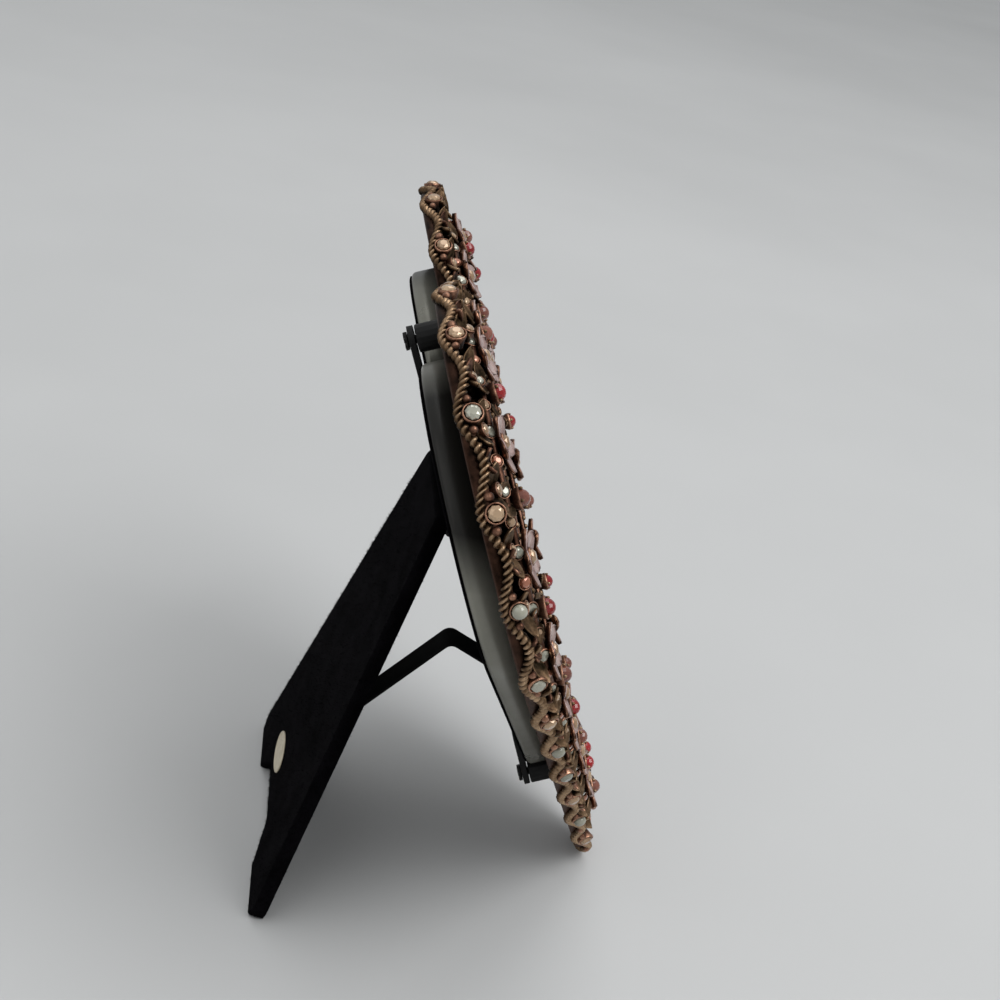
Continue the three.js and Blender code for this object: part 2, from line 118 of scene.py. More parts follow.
def make_mottled():
    """Cloudy colour and value over a piece; the scale is in features per metre."""
    inputs = {"Scale": 100.0, "Detail": 4.0, "Low": (0.2, 0.2, 0.2, 1), "High": (0.4, 0.4, 0.4, 1)}
    outputs = {"Colour": "NodeSocketColor", "Value": "NodeSocketFloat"}
    tree, given, out = new_group("mottled", inputs, outputs)
    sizes = {"Scale": given["Scale"], "Detail": given["Detail"], "Roughness": 0.6}
    noise = add(tree, "TexNoise", Vector=add(tree, "TexCoord")["Object"], **sizes)
    value = stretched(tree, noise["Fac"], 0.3, 0.7)
    fill(tree, out, Colour=mix_colours(tree, value, given["Low"], given["High"]), Value=value)
    return tree


mottled = make_mottled()


def new_finish(name, rough, metal=0.0, **sockets):
    """A new material, its node tree and its shader, with its plain sockets set."""
    material = bpy.data.materials.new(name)
    material.use_nodes = True
    tree = material.node_tree
    shader = fill(tree, tree.nodes["Principled BSDF"], Roughness=rough, Metallic=metal, **sockets)
    return material, tree, shader


def put_group(tree, group, **values):
    """A node group placed in a material, with its own values."""
    return add(tree, "Group", node_tree=group, **values)


def emboss(tree, shader, height, strength, depth):
    """Fine relief on a shader from a height."""
    bump = add(tree, "Bump", Height=height, Strength=strength, Distance=depth)
    fill(tree, shader, Normal=bump["Normal"])


def clouded(name, rough, low, high, scale, detail=4.0, relief=None, **sockets):
    """A material in a cloudy colour; relief is the strength and depth that its clouds stand out by."""
    material, tree, shader = new_finish(name, rough, **sockets)
    clouds = put_group(tree, mottled, Scale=scale, Detail=detail, Low=low, High=high)
    fill(tree, shader, Base_Color=clouds["Colour"])
    if relief:
        emboss(tree, shader, clouds["Value"], *relief)
    return material


def lay_table():
    mesh = bpy.data.meshes.new("table_top")
    corners = [(-TABLE_HALF, -TABLE_HALF, 0), (TABLE_HALF, -TABLE_HALF, 0)]
    corners += [(TABLE_HALF, TABLE_HALF, 0), (-TABLE_HALF, TABLE_HALF, 0)]
    mesh.from_pydata(corners, [], [(0, 1, 2, 3)])
    mesh.materials.append(clouded("table_top", 0.65, TABLE_LOW, TABLE_HIGH, scale=3.0))
    table = bpy.data.objects.new("table_top", mesh)
    scene.collection.objects.link(table)


def hang_lamp(name, place, size, power):
    lamp = bpy.data.lights.new(name, "AREA")
    lamp.size = size
    lamp.energy = power
    holder = bpy.data.objects.new(name, lamp)
    holder.location = place
    holder.rotation_euler = (LAMP_AIM - Vector(place)).to_track_quat("-Z", "Y").to_euler()
    scene.collection.objects.link(holder)


def light_room():
    """A soft room, brighter overhead than at the level of the table."""
    world = bpy.data.worlds.new("studio")
    world.use_nodes = True
    tree = world.node_tree
    split = add(tree, "SeparateXYZ", Vector=add(tree, "TexCoord")["Generated"])
    height = stretched(tree, split["Z"], 0.0, 0.8)
    fill(tree, tree.nodes["Background"], Color=mix_colours(tree, height, SKY_LOW, SKY_HIGH))
    scene.world = world


lay_table()
light_room()
for lamp_values in LAMPS:
    hang_lamp(*lamp_values)

# Camera
# It stands where the photograph was taken from, beside the heart's left lobe and above it,
# held a little askew.
CAMERA_AT = Vector((-0.2733, 0.0456, 0.2100))
CAMERA_YAW = math.radians(-9.69)
CAMERA_PITCH = math.radians(25.36)
CAMERA_ROLL = math.radians(11.47)
CAMERA_LENS = 58.03
CAMERA_NEAR = 0.01


def set_camera():
    level = math.cos(CAMERA_PITCH)
    ahead = Vector((level * math.cos(CAMERA_YAW), level * math.sin(CAMERA_YAW), -math.sin(CAMERA_PITCH)))
    right = ahead.cross(Vector((0, 0, 1))).normalized()
    above = right.cross(ahead)
    rolled_right = math.cos(CAMERA_ROLL) * right + math.sin(CAMERA_ROLL) * above
    rolled_up = -math.sin(CAMERA_ROLL) * right + math.cos(CAMERA_ROLL) * above
    data = bpy.data.cameras.new("photo_camera")
    data.lens = CAMERA_LENS
    data.clip_start = CAMERA_NEAR
    camera = bpy.data.objects.new("photo_camera", data)
    camera.matrix_world = Matrix((rolled_right, rolled_up, -ahead)).transposed().to_4x4()
    camera.location = CAMERA_AT
    scene.collection.objects.link(camera)
    scene.camera = camera


set_camera()

# Base plate of the border
# A cast copper plate in the shape of a heart, with a rolled edge, antiqued dark.
# It carries everything else, and stands on a flat at its tip.
SIGHT = {"lobe_r": 0.0252, "lap": 0.0029, "lobe_up": 0.0940, "tip_up": 0.0317, "tip_r": 0.0025}
RIM = {"lobe_r": 0.0377, "lap": 0.0077, "lobe_up": 0.1012, "tip_up": 0.0090, "tip_r": 0.0072}
HINGE_UP = 0.08876
HINGE_BACK = 0.0094
LOBE_STEPS = 72
TIP_STEPS = 14
PLATE_BACK = 0.0018
PLATE_ROUND = 0.0004
PLATE_INSET = 0.0009
ROLLED_EDGE = 0.0006
PLATE_HOLLOW = 0.0005
# Painted light and shade: the copper and brass are painted brighter towards the tip and darker towards the
# top.
PAINTED_LIGHT_HEIGHTS = (0.0, 0.13)
PAINTED_LIGHT_BY_HEIGHT = (0.14, -0.14)
CLEAN_WEAR = (0.10, 0.65)
BRIGHT_WEAR = (0.60, 1.15)
PATINA_ROUGH = (0.52, 0.24)
joints = {joint["name"]: joint for joint in frame["joints"]}
back_way = Vector(joints["turn_button_top_turn"]["axis"])
up_way = Vector((0, -back_way.z, back_way.y))
hinge_at = Vector(joints["leg_fold"]["pos_m"])
tip_at = hinge_at - HINGE_UP * up_way - HINGE_BACK * back_way
leaning = Matrix.Translation(tip_at) @ Matrix((Vector((1, 0, 0)), back_way, up_way)).transposed().to_4x4()


def arc(x, up, radius, start, end, steps):
    angles = [start + (end - start) * step / steps for step in range(steps + 1)]
    return [Vector((x + radius * math.cos(angle), up + radius * math.sin(angle))) for angle in angles]


def heart_line(heart, grow=0.0):
    """Points round a heart, from its tip up the right side and down the left, as across and up."""
    lobe_x = heart["lobe_r"] - heart["lap"]
    lobe_r = heart["lobe_r"] + grow
    tip_r = heart["tip_r"] + grow
    height = heart["lobe_up"] - heart["tip_up"]
    slant = math.asin((lobe_r - tip_r) / math.hypot(height, lobe_x))
    side = math.atan2(height, lobe_x) - math.pi / 2 - slant
    notch = math.pi - math.acos(lobe_x / lobe_r)
    right = arc(0, heart["tip_up"], tip_r, -math.pi / 2, side, TIP_STEPS)
    right += arc(lobe_x, heart["lobe_up"], lobe_r, side, notch, LOBE_STEPS)
    return right + [Vector((-point.x, point.y)) for point in reversed(right[1:-1])]


def mixed_heart(share):
    """A heart between the sight opening (0) and the rim (1)."""
    return {key: SIGHT[key] + (RIM[key] - SIGHT[key]) * share for key in SIGHT}


def standing(point, back):
    """A place in the leaning frame, from across and up, at a depth behind the plate's front."""
    return Vector((point.x, back, point.y))


def loft(loops, closed=True):
    """Points and faces through loops of equal length, joined last to first or with filled ends."""
    count = len(loops[0])
    points = [point for loop in loops for point in loop]
    faces = []
    for row in range(len(loops) if closed else len(loops) - 1):
        here, ahead = row * count, ((row + 1) % len(loops)) * count
        for i in range(count):
            j = (i + 1) % count
            faces.append((here + i, here + j, ahead + j, ahead + i))
    if not closed:
        faces.append(tuple(reversed(range(count))))
        faces.append(tuple(range(len(points) - count, len(points))))
    return points, faces


def make_piece(name, shape, place, finish, body, smooth=True, rubbed=None):
    """A piece of the frame from points and faces; rubbed says how bright each point has worn."""
    points, faces = shape
    mesh = bpy.data.meshes.new(name)
    mesh.from_pydata([tuple(point) for point in points], [], faces)
    if rubbed:
        mesh.attributes.new("rubbed", "FLOAT", "POINT").data.foreach_set("value", rubbed)
    mesh.transform(place)
    build = bmesh.new()
    build.from_mesh(mesh)
    bmesh.ops.remove_doubles(build, verts=build.verts, dist=1e-7)
    bmesh.ops.recalc_face_normals(build, faces=build.faces)
    build.to_mesh(mesh)
    build.free()
    mesh.polygons.foreach_set("use_smooth", [smooth and face.loop_total <= 4 for face in mesh.polygons])
    mesh.materials.append(finish)
    piece = bpy.data.objects.new(name, mesh)
    scene.collection.objects.link(piece)
    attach(piece, body)
    return piece


def cut_at_table(piece):
    """Takes away what lies under the table top and closes the cut."""
    build = bmesh.new()
    build.from_mesh(piece.data)
    everything = [*build.verts, *build.edges, *build.faces]
    plane = {"plane_co": (0, 0, 0), "plane_no": (0, 0, -1)}
    cut = bmesh.ops.bisect_plane(build, geom=everything, clear_outer=True, **plane)
    rim = [item for item in cut["geom_cut"] if isinstance(item, bmesh.types.BMEdge)]
    bmesh.ops.holes_fill(build, edges=rim)
    build.to_mesh(piece.data)
    build.free()


def make_patina_and_painted_light():
    """Antiqued metal, dark where it sits deep and rubbed bright where it stands proud; painted light and
    shade make it brighter towards the tip and darker towards the top.
    """
    shades = {"Dark": (0.02, 0.02, 0.02, 1), "Metal": (0.2, 0.1, 0.1, 1), "Bright": (0.5, 0.3, 0.2, 1)}
    outputs = {"Colour": "NodeSocketColor", "Rubbed": "NodeSocketFloat"}
    tree, given, out = new_group("patina", {"Scale": 400.0, "Patchiness": 0.45, **shades}, outputs)
    place = add(tree, "TexCoord")["Object"]
    noise = add(tree, "TexNoise", Vector=place, Scale=given["Scale"], Detail=5.0, Roughness=0.65)
    patches = stretched(tree, noise["Fac"], 0.25, 0.75, -1.0, 1.0)
    proud = add(tree, "Attribute", attribute_name="rubbed")["Fac"]
    height = add(tree, "SeparateXYZ", Vector=place)["Z"]
    # The height term is painted light and shade: brighter towards the tip, darker towards the top.
    worn = reckon(tree, "ADD", proud, stretched(tree, height, *PAINTED_LIGHT_HEIGHTS, *PAINTED_LIGHT_BY_HEIGHT))
    level = reckon(tree, "MULTIPLY_ADD", patches, given["Patchiness"], worn)
    bright = stretched(tree, level, *BRIGHT_WEAR)
    body = mix_colours(tree, stretched(tree, level, *CLEAN_WEAR), given["Dark"], given["Metal"])
    fill(tree, out, Colour=mix_colours(tree, bright, body, given["Bright"]), Rubbed=bright)
    return tree


patina = make_patina_and_painted_light()


def antiqued(name, dark, metal, bright, patchiness=0.45):
    """Cast metal, antiqued dark, with painted light and shade by height."""
    material, tree, shader = new_finish(name, 0.4, 1.0)
    coat = put_group(tree, patina, Scale=420.0, Patchiness=patchiness, Dark=dark, Metal=metal, Bright=bright)
    rough = stretched(tree, coat["Rubbed"], 0, 1, *PATINA_ROUGH)
    fill(tree, shader, Base_Color=coat["Colour"], Roughness=rough)
    emboss(tree, shader, put_group(tree, mottled, Scale=1800.0)["Value"], 0.25, 0.0001)
    return material


copper_shades = ((0.012, 0.007, 0.005, 1), (0.115, 0.055, 0.036, 1), (0.46, 0.25, 0.165, 1))
plate_copper = antiqued("plate_copper", *copper_shades, patchiness=0.2)


def stood(section):
    """Loops in the leaning frame, from lines and their depths."""
    return [[standing(point, back) for point in line] for line, back in section]


def moulding(name, section, finish):
    """A closed moulding right round the heart, from its section's lines with their depth and wear."""
    shape = loft(stood((line, back) for line, back, _ in section))
    rubbed = [wear for line, _, wear in section for _ in line]
    return make_piece(name, shape, leaning, finish, "frame", rubbed=rubbed)


plate_section = []
for share, grow, back, wear in (
    (0.00, PLATE_ROUND, PLATE_ROUND, 0.3),
    (0.00, 2 * PLATE_ROUND, 0.0, 0.4),
    (0.20, 0.0, 0.0, 0.3),
    (0.26, 0.0, PLATE_HOLLOW, 0.05),
    (0.72, 0.0, PLATE_HOLLOW, 0.05),
    (0.80, 0.0, -ROLLED_EDGE / 2, 0.45),
    (0.92, 0.0, -ROLLED_EDGE, 0.65),
    (1.00, -PLATE_INSET - 2 * PLATE_ROUND, -ROLLED_EDGE / 2, 0.5),
    (1.00, -PLATE_INSET, 0.0, 0.3),
    (1.00, -PLATE_INSET, PLATE_BACK - PLATE_ROUND, 0.3),
    (1.00, -PLATE_INSET - PLATE_ROUND, PLATE_BACK, 0.5),
    (0.80, 0.0, PLATE_BACK, 0.4),
    (0.50, 0.0, PLATE_BACK, 0.25),
    (0.00, 2 * PLATE_ROUND, PLATE_BACK, 0.2),
    (0.00, PLATE_ROUND, PLATE_BACK - PLATE_ROUND, 0.3),
):
    plate_section.append((heart_line(mixed_heart(share), grow), back, wear))
base_plate = moulding("base_plate", plate_section, plate_copper)
cut_at_table(base_plate)
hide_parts("rear_wreath")

# Roped edge with its stones
# A twisted brass rope waves along the rim, soldered to the copper plate. Clear and champagne stones
# in cups, and milky beads, sit sideways in its bays, with small copper beads and leaves between.
BAYS = 28
ROPE_STEPS = 1680
ROPE_TURNS = 196
ROPE_STRAND = 0.00050
ROPE_SIDES = 6
ROPE_BACK = 0.0002
ROPE_WAVE = 0.0011
ROPE_OUT = -0.0005
STRAND_APART = 0.9
ROPE_SHINE = 0.45
# The rope's brighter level near the tip is painted light.
TIP_PAINTED_LIGHT = 0.75
STRAND_SHINE = 0.25
SIDE_SHINE = 0.3
BAY_STONE_R = 0.0013
BAY_CUP_R = 0.0017
BAY_CUP_HIGH = 0.0024
BAY_BACK = -0.0009
BAY_OUT = 0.0004
BAY_TILT = 0.25
CUP_WALL = 0.0003
MILKY_R = 0.00125
MILKY_TALL = 0.8
MILKY_CUP_HIGH = 0.0020
MILKY_SUNK = 0.0003
SMALL_BEAD_R = 0.00075
SMALL_BEADS_BACK = -0.0004
SMALL_BEAD_SIZES = (0.85, 1.1)
RIM_LEAF = (0.0036, 0.0022)
LEAF_SWELL = 0.8
LEAF_MIDRIB = 0.10
LEAF_IN = 0.0026
LEAF_BACK = -0.00075
LEAF_RISE = 0.22
LEAF_SPREAD = 0.7
LEAF_TILT = 0.7
TIP_ZONE = 0.024
TOP_ZONE = 0.134
TABLE_FREE = 0.0004
NOTCH_FREE = 0.0035
chance = random.Random(11)
front_way = Vector((0, -1, 0))


def evenly(line, count, shift=0.0):
    """Evenly spaced places round a line, each with its number and the ways out from it and along it."""
    ring = line + [line[0]]
    lengths = [0.0]
    for start, end in zip(ring, ring[1:]):
        lengths.append(lengths[-1] + (end - start).length)
    found, segment = [], 0
    for i in range(count):
        goal = lengths[-1] * (i + shift) / count
        while lengths[segment + 1] < goal:
            segment += 1
        start, end = ring[segment], ring[segment + 1]
        along = (end - start).normalized()
        share = (goal - lengths[segment]) / (lengths[segment + 1] - lengths[segment])
        ways = Vector((along.y, 0, -along.x)), Vector((along.x, 0, along.y))
        found.append((i, start.lerp(end, share), *ways))
    return found


def facing(place, way, spin=0.0):
    """A matrix that turns a shape's +Z to a direction and puts it at a place."""
    turn = way.to_track_quat("Z", "Y").to_matrix().to_4x4()
    return Matrix.Translation(place) @ turn @ Matrix.Rotation(spin, 4, "Z")


def laid(place, along, normal):
    """A matrix that lays a shape's +X along a direction, with its +Z towards a normal."""
    x = along.normalized()
    y = normal.cross(x).normalized()
    return Matrix.Translation(place) @ Matrix((x, y, x.cross(y))).transposed().to_4x4()


def turned(profile, sides):
    """A shape of revolution about Z from radius and height pairs; a zero radius closes it."""
    points, faces, rows = [], [], []
    for radius, height in profile:
        rows.append(len(points))
        for i in range(sides if radius > 0 else 1):
            angle = math.tau * i / sides
            points.append(Vector((radius * math.cos(angle), radius * math.sin(angle), height)))
    for row in range(len(profile) - 1):
        a, b = rows[row], rows[row + 1]
        for i in range(sides):
            j = (i + 1) % sides
            if profile[row][0] == 0:
                faces.append((a, b + j, b + i))
            elif profile[row + 1][0] == 0:
                faces.append((a + i, a + j, b))
            else:
                faces.append((a + i, a + j, b + j, b + i))
    return points, faces


def ball(radius, sides=14, rings=8, tall=1.0):
    profile = [(0, -radius * tall)]
    for ring in range(1, rings):
        angle = math.pi * ring / rings
        profile.append((radius * math.sin(angle), -radius * tall * math.cos(angle)))
    return turned(profile + [(0, radius * tall)], sides)


def brilliant(radius, sides=8, crown=0.5):
    """A faceted round stone: table, two rows of crown facets, girdle and point; its girdle is at 0."""
    high, low = crown * radius, 0.75 * radius
    rows = (
        (0.50, high, 0.5),
        (0.84, 0.62 * high, 0.0),
        (1.0, 0.05 * radius, 0.5),
        (1.0, -0.05 * radius, 0.5),
    )
    points, faces = [], []
    for share, height, shift in rows:
        for i in range(sides):
            angle = math.tau * (i + shift) / sides
            out = share * radius
            points.append(Vector((out * math.cos(angle), out * math.sin(angle), height)))
    top, point = len(points), len(points) + 1
    points += [Vector((0, 0, high)), Vector((0, 0, -low))]
    table, star, girdle, under = (row * sides for row in range(4))
    for i in range(sides):
        j = (i + 1) % sides
        faces += [
            (top, table + i, table + j),
            (table + i, star + j, table + j),
            (table + i, star + i, star + j),
            (star + i, girdle + i, star + j),
            (star + j, girdle + i, girdle + j),
            (girdle + i, under + i, under + j, girdle + j),
            (under + i, point, under + j),
        ]
    return points, faces


def cup(radius, height, sides=16):
    """A stone's cup: a wall with a rolled lip and a closed floor, its lip at 0."""
    lip = 0.16 * radius
    return turned(
        (
            (0, -height),
            (0.72 * radius, -height),
            (0.84 * radius, -0.5 * height),
            (radius, -lip),
            (radius, 0),
            (radius - 0.5 * lip, 0.5 * lip),
            (radius - lip, 0),
            (radius - lip, -2 * lip),
            (0, -2.6 * lip),
        ),
        sides,
    )


def leaf(long, wide, point=0.75, hollow=0.18, curl=0.2, thick=0.00028, rows=8):
    """A leaf or petal lying along X from 0, cupped towards +Z, with a raised midrib."""
    top, under = [], []
    for row in range(rows + 1):
        t = row / rows
        half = wide / 2 * max(math.sin(math.pi * t ** LEAF_SWELL), 0.0) ** point
        bend = curl * long * t * t
        for side in (-1.0, -0.5, 0.0, 0.5, 1.0):
            rise = bend + hollow * wide * side * side + (LEAF_MIDRIB * wide if side == 0 else 0.0)
            top.append(Vector((long * t, half * side, rise)))
            under.append(Vector((long * t, half * side, rise - thick)))
    points, faces, count = top + under, [], len(top)
    for row in range(rows):
        for column in range(4):
            a, b = row * 5 + column, (row + 1) * 5 + column
            faces.append((a, b, b + 1, a + 1))
            faces.append((count + a, count + a + 1, count + b + 1, count + b))
        for edge in (row * 5, row * 5 + 4):
            faces.append((edge, edge + 5, count + edge + 5, count + edge))
    for end in (0, rows * 5):
        for column in range(4):
            faces.append((end + column, end + column + 1, count + end + column + 1, count + end + column))
    return points, faces


def new_heap():
    return {"points": [], "faces": [], "rubbed": []}


def by_height(points):
    """Wear that grows from a shape's foot to its top."""
    low, high = min(point.z for point in points), max(point.z for point in points)
    return [(point.z - low) / (high - low) for point in points]


def by_length(points):
    """A shade that grows from a leaf's or petal's root to its tip."""
    long = max(point.x for point in points)
    return [point.x / long for point in points]


def put(heap, shape, place, wear=by_height):
    """Adds a placed copy of a shape to a heap of like shapes."""
    points, faces = shape
    first = len(heap["points"])
    heap["points"] += [place @ point for point in points]
    heap["faces"] += [tuple(first + i for i in face) for face in faces]
    heap["rubbed"] += wear(points)


def set_heap(name, heap, finish, smooth=True):
    """Makes one piece of a heap."""
    shape = (heap["points"], heap["faces"])
    return make_piece(name, shape, leaning, finish, "frame", smooth, heap["rubbed"])


def set_stones(name, heap, finish):
    """Makes one piece of a heap of faceted stones."""
    return set_heap(name, heap, finish, smooth=False)


def any_turn(most=3.0):
    return chance.uniform(0, most)


def has_room(point, seat, radius=0.0):
    """Whether an ornament at the rim stays off the table and out of the notch."""
    lowest = leaning @ (seat + radius * Vector((0, 0, -1)))
    return lowest.z > TABLE_FREE and not (abs(point.x) < NOTCH_FREE and point.y > RIM["lobe_up"])


def rope_along(line):
    """Two strands twisted together along a line that waves to the front and to the back."""
    heap = new_heap()
    back = Vector((0, 1, 0))
    for strand in range(2):
        loops, wear = [], []
        for i, point, way, _ in evenly(line, ROPE_STEPS):
            turn = math.tau * ROPE_TURNS * i / ROPE_STEPS + math.pi * strand
            sway = ROPE_BACK + ROPE_WAVE * math.cos(math.tau * BAYS * i / ROPE_STEPS)
            # Near the tip the rope's wear level is raised as painted light, so it shows brighter there.
            rub_and_painted_light = ROPE_SHINE if point.y > TIP_ZONE else TIP_PAINTED_LIGHT
            middle = standing(point, sway)
            middle = middle + STRAND_APART * ROPE_STRAND * (math.cos(turn) * way + math.sin(turn) * back)
            loop = []
            for side in range(ROPE_SIDES):
                angle = math.tau * side / ROPE_SIDES
                loop.append(middle + ROPE_STRAND * (math.cos(angle) * way + math.sin(angle) * back))
                wear.append(rub_and_painted_light + STRAND_SHINE * math.cos(turn) + SIDE_SHINE * math.cos(angle))
            loops.append(loop)
        put(heap, loft(loops), Matrix.Identity(4), lambda points, wear=wear: wear)
    return heap


def foiled_stone(name, low, high, rough=0.06, metal=0.4):
    """Foil-backed cut glass, whose tint drifts from stone to stone."""
    gloss = {"IOR": 1.6, "Coat_Weight": 0.7, "Coat_Roughness": 0.02}
    return clouded(name, rough, low, high, scale=170.0, detail=1.0, metal=metal, **gloss)


champagne_stone = foiled_stone("champagne_stone", (0.26, 0.15, 0.08, 1), (0.52, 0.36, 0.22, 1))
clear_stone = foiled_stone("clear_stone", (0.20, 0.20, 0.155, 1), (0.46, 0.45, 0.37, 1))
milky_shades = ((0.22, 0.215, 0.165, 1), (0.37, 0.365, 0.29, 1))
milky_bead = foiled_stone("milky_bead", *milky_shades, rough=0.2, metal=0.0)
antique_copper = antiqued("antique_copper", *copper_shades)
brass_shades = ((0.016, 0.011, 0.006, 1), (0.17, 0.105, 0.060, 1), (0.47, 0.32, 0.20, 1))
antique_brass = antiqued("antique_brass", *brass_shades)

rope = set_heap("rim_rope", rope_along(heart_line(RIM, ROPE_OUT)), antique_brass)
cut_at_table(rope)
bay_cups, rim_beads, rim_leaves, milky_beads = (new_heap() for _ in range(4))
bay_stones = (new_heap(), new_heap())
for i, point, out, _ in evenly(heart_line(RIM), BAYS):
    seat = standing(point, BAY_BACK) + BAY_OUT * out
    if not has_room(point, seat, BAY_CUP_R):
        continue
    mouth = facing(seat, out + BAY_TILT * front_way, any_turn())
    kind = i % 3 if TIP_ZONE < point.y < TOP_ZONE else 1
    if kind == 2:
        sunk = mouth @ Matrix.Translation((0, 0, -MILKY_SUNK))
        put(milky_beads, ball(MILKY_R, tall=MILKY_TALL), mouth)
        put(bay_cups, cup(MILKY_R + CUP_WALL, MILKY_CUP_HIGH), sunk)
    else:
        put(bay_stones[kind], brilliant(BAY_STONE_R), mouth)
        put(bay_cups, cup(BAY_CUP_R, BAY_CUP_HIGH), mouth)
for i, point, out, along in evenly(heart_line(RIM), 3 * BAYS, 0.5):
    seat = standing(point, SMALL_BEADS_BACK)
    if not has_room(point, seat, SMALL_BEAD_R):
        continue
    if i % 3 != 1 or point.y < TIP_ZONE:
        put(rim_beads, ball(SMALL_BEAD_R * chance.uniform(*SMALL_BEAD_SIZES)), facing(seat, out))
        continue
    root = standing(point, LEAF_BACK) - LEAF_IN * out
    for turn in (-LEAF_SPREAD, LEAF_SPREAD):
        way = math.cos(turn) * out + math.sin(turn) * along + LEAF_RISE * front_way
        lie = laid(root, way, front_way + LEAF_TILT * out)
        put(rim_leaves, leaf(*RIM_LEAF, point=0.6), lie)
set_heap("rim_cups", bay_cups, antique_copper)
set_heap("rim_beads", rim_beads, antique_copper)
set_heap("rim_leaves", rim_leaves, antique_copper)
set_heap("rim_milky_beads", milky_beads, milky_bead)
set_stones("rim_stones_clear", bay_stones[0], clear_stone)
set_stones("rim_stones_champagne", bay_stones[1], champagne_stone)

# Leaves and stones on the plate's face
# Small brass leaves in pairs, with a champagne stone between, are soldered round the outer part
# of the plate, behind the front layer. Three stones in rings of beads fill the tip.
FACE_SHARE = 0.86
FACE_SPRIGS = 44
FACE_LEAF = (0.0044, 0.0025)
FACE_LEAF_OUT = 0.55
FACE_LEAF_RISE = 0.25
FACE_LEAF_APART = 0.0006
FACE_LEAF_TILT = 0.9
FACE_STONE_R = 0.0009
FACE_STONE_RISE = 0.0011
FACE_STONE_TILT = 0.3
FACE_CUP_HIGH = 0.0017
FACE_FRONT = -0.0009
FACE_LOWEST = 0.016
TIP_STONES = ((0.0, 0.0086, 0.0012), (-0.0038, 0.0104, 0.0010), (0.0038, 0.0104, 0.0010))
TIP_FRONT = -0.0021
TIP_FAN = 60
TIP_DROOP = -0.3
TIP_CUP_HIGH = 0.0019
TIP_BEADS = 9
TIP_BEAD_R = 0.00055
TIP_BEAD_SIZES = (0.85, 1.15)
TIP_BEADS_OUT = 0.0008
TIP_BEADS_DOWN = 0.0009
HIGH_CROWN = 0.6
peach_stone = foiled_stone("peach_stone", (0.36, 0.12, 0.065, 1), (0.62, 0.28, 0.17, 1))


def set_in_cup(stones, cups, radius, cup_high, mouth, crown=0.5):
    """Puts a faceted stone and its cup at a mouth."""
    put(stones, brilliant(radius, crown=crown), mouth)
    put(cups, cup(radius + CUP_WALL, cup_high), mouth)


face_leaves, face_cups, face_stones = new_heap(), new_heap(), new_heap()
for _, point, out, along in evenly(heart_line(mixed_heart(FACE_SHARE)), FACE_SPRIGS, 0.5):
    seat = standing(point, FACE_FRONT)
    if point.y < FACE_LOWEST or not has_room(point, seat):
        continue
    for side in (-1, 1):
        way = side * along + FACE_LEAF_OUT * out + FACE_LEAF_RISE * front_way
        root = seat + FACE_LEAF_APART * side * along
        put(face_leaves, leaf(*FACE_LEAF), laid(root, way, front_way + FACE_LEAF_TILT * out))
    look = front_way + FACE_STONE_TILT * out
    mouth = facing(seat + FACE_STONE_RISE * front_way, look, any_turn())
    set_in_cup(face_stones, face_cups, FACE_STONE_R, FACE_CUP_HIGH, mouth)
tip_beads, tip_peach = new_heap(), new_heap()
for across, up, radius in TIP_STONES:
    place = standing(Vector((across, up)), TIP_FRONT)
    mouth = facing(place, front_way + Vector((TIP_FAN * across, 0, TIP_DROOP)), any_turn())
    set_in_cup(tip_peach if across else face_stones, face_cups, radius, TIP_CUP_HIGH, mouth, HIGH_CROWN)
    for number in range(TIP_BEADS):
        angle = math.tau * number / TIP_BEADS
        spot = (radius + TIP_BEADS_OUT) * Vector((math.cos(angle), math.sin(angle), 0))
        spot = Matrix.Translation(spot - Vector((0, 0, TIP_BEADS_DOWN)))
        put(tip_beads, ball(TIP_BEAD_R * chance.uniform(*TIP_BEAD_SIZES)), mouth @ spot)
set_heap("tip_beads", tip_beads, antique_copper)
set_stones("tip_stones", tip_peach, peach_stone)
set_heap("face_leaves", face_leaves, antique_brass)
set_heap("face_cups", face_cups, antique_copper)
set_stones("face_stones", face_stones, champagne_stone)

# Raised edge round the sight opening
# A half-round copper moulding, with a row of fine brass beads, frames the glass.
# It is soldered to the front of the plate.
BEZEL_WIDTH = 0.0022
BEZEL_RISE = 0.0015
BEZEL_GAP = 0.0003
BEZEL_STEPS = 8
BEZEL_MIDDLE = 0.55
BEZEL_SWING = 0.45
BEZEL_WEAR = 0.2
BEZEL_TOP_WEAR = 0.7
FINE_BEADS = 150
FINE_BEAD_R = 0.00062
FINE_BEADS_OUT = 0.7


def bead_row(name, line, count, radius, back):
    """A row of fine brass beads along a line, facing the front."""
    beads = new_heap()
    for _, point, _, _ in evenly(line, count):
        put(beads, ball(radius, sides=10, rings=6), facing(standing(point, back), front_way))
    set_heap(name, beads, antique_brass)


bezel_section = []
for step in range(BEZEL_STEPS + 1):
    angle = math.pi * step / BEZEL_STEPS
    line = heart_line(SIGHT, BEZEL_WIDTH * (BEZEL_MIDDLE - BEZEL_SWING * math.cos(angle)))
    back = -BEZEL_GAP - BEZEL_RISE * math.sin(angle)
    bezel_section.append((line, back, BEZEL_WEAR + BEZEL_TOP_WEAR * math.sin(angle)))
bezel = moulding("bezel_moulding", bezel_section, antique_copper)
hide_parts("sight_bezel")
bead_line = heart_line(SIGHT, BEZEL_WIDTH + FINE_BEADS_OUT * FINE_BEAD_R)
bead_row("bezel_beads", bead_line, FINE_BEADS, FINE_BEAD_R, -BEZEL_GAP)

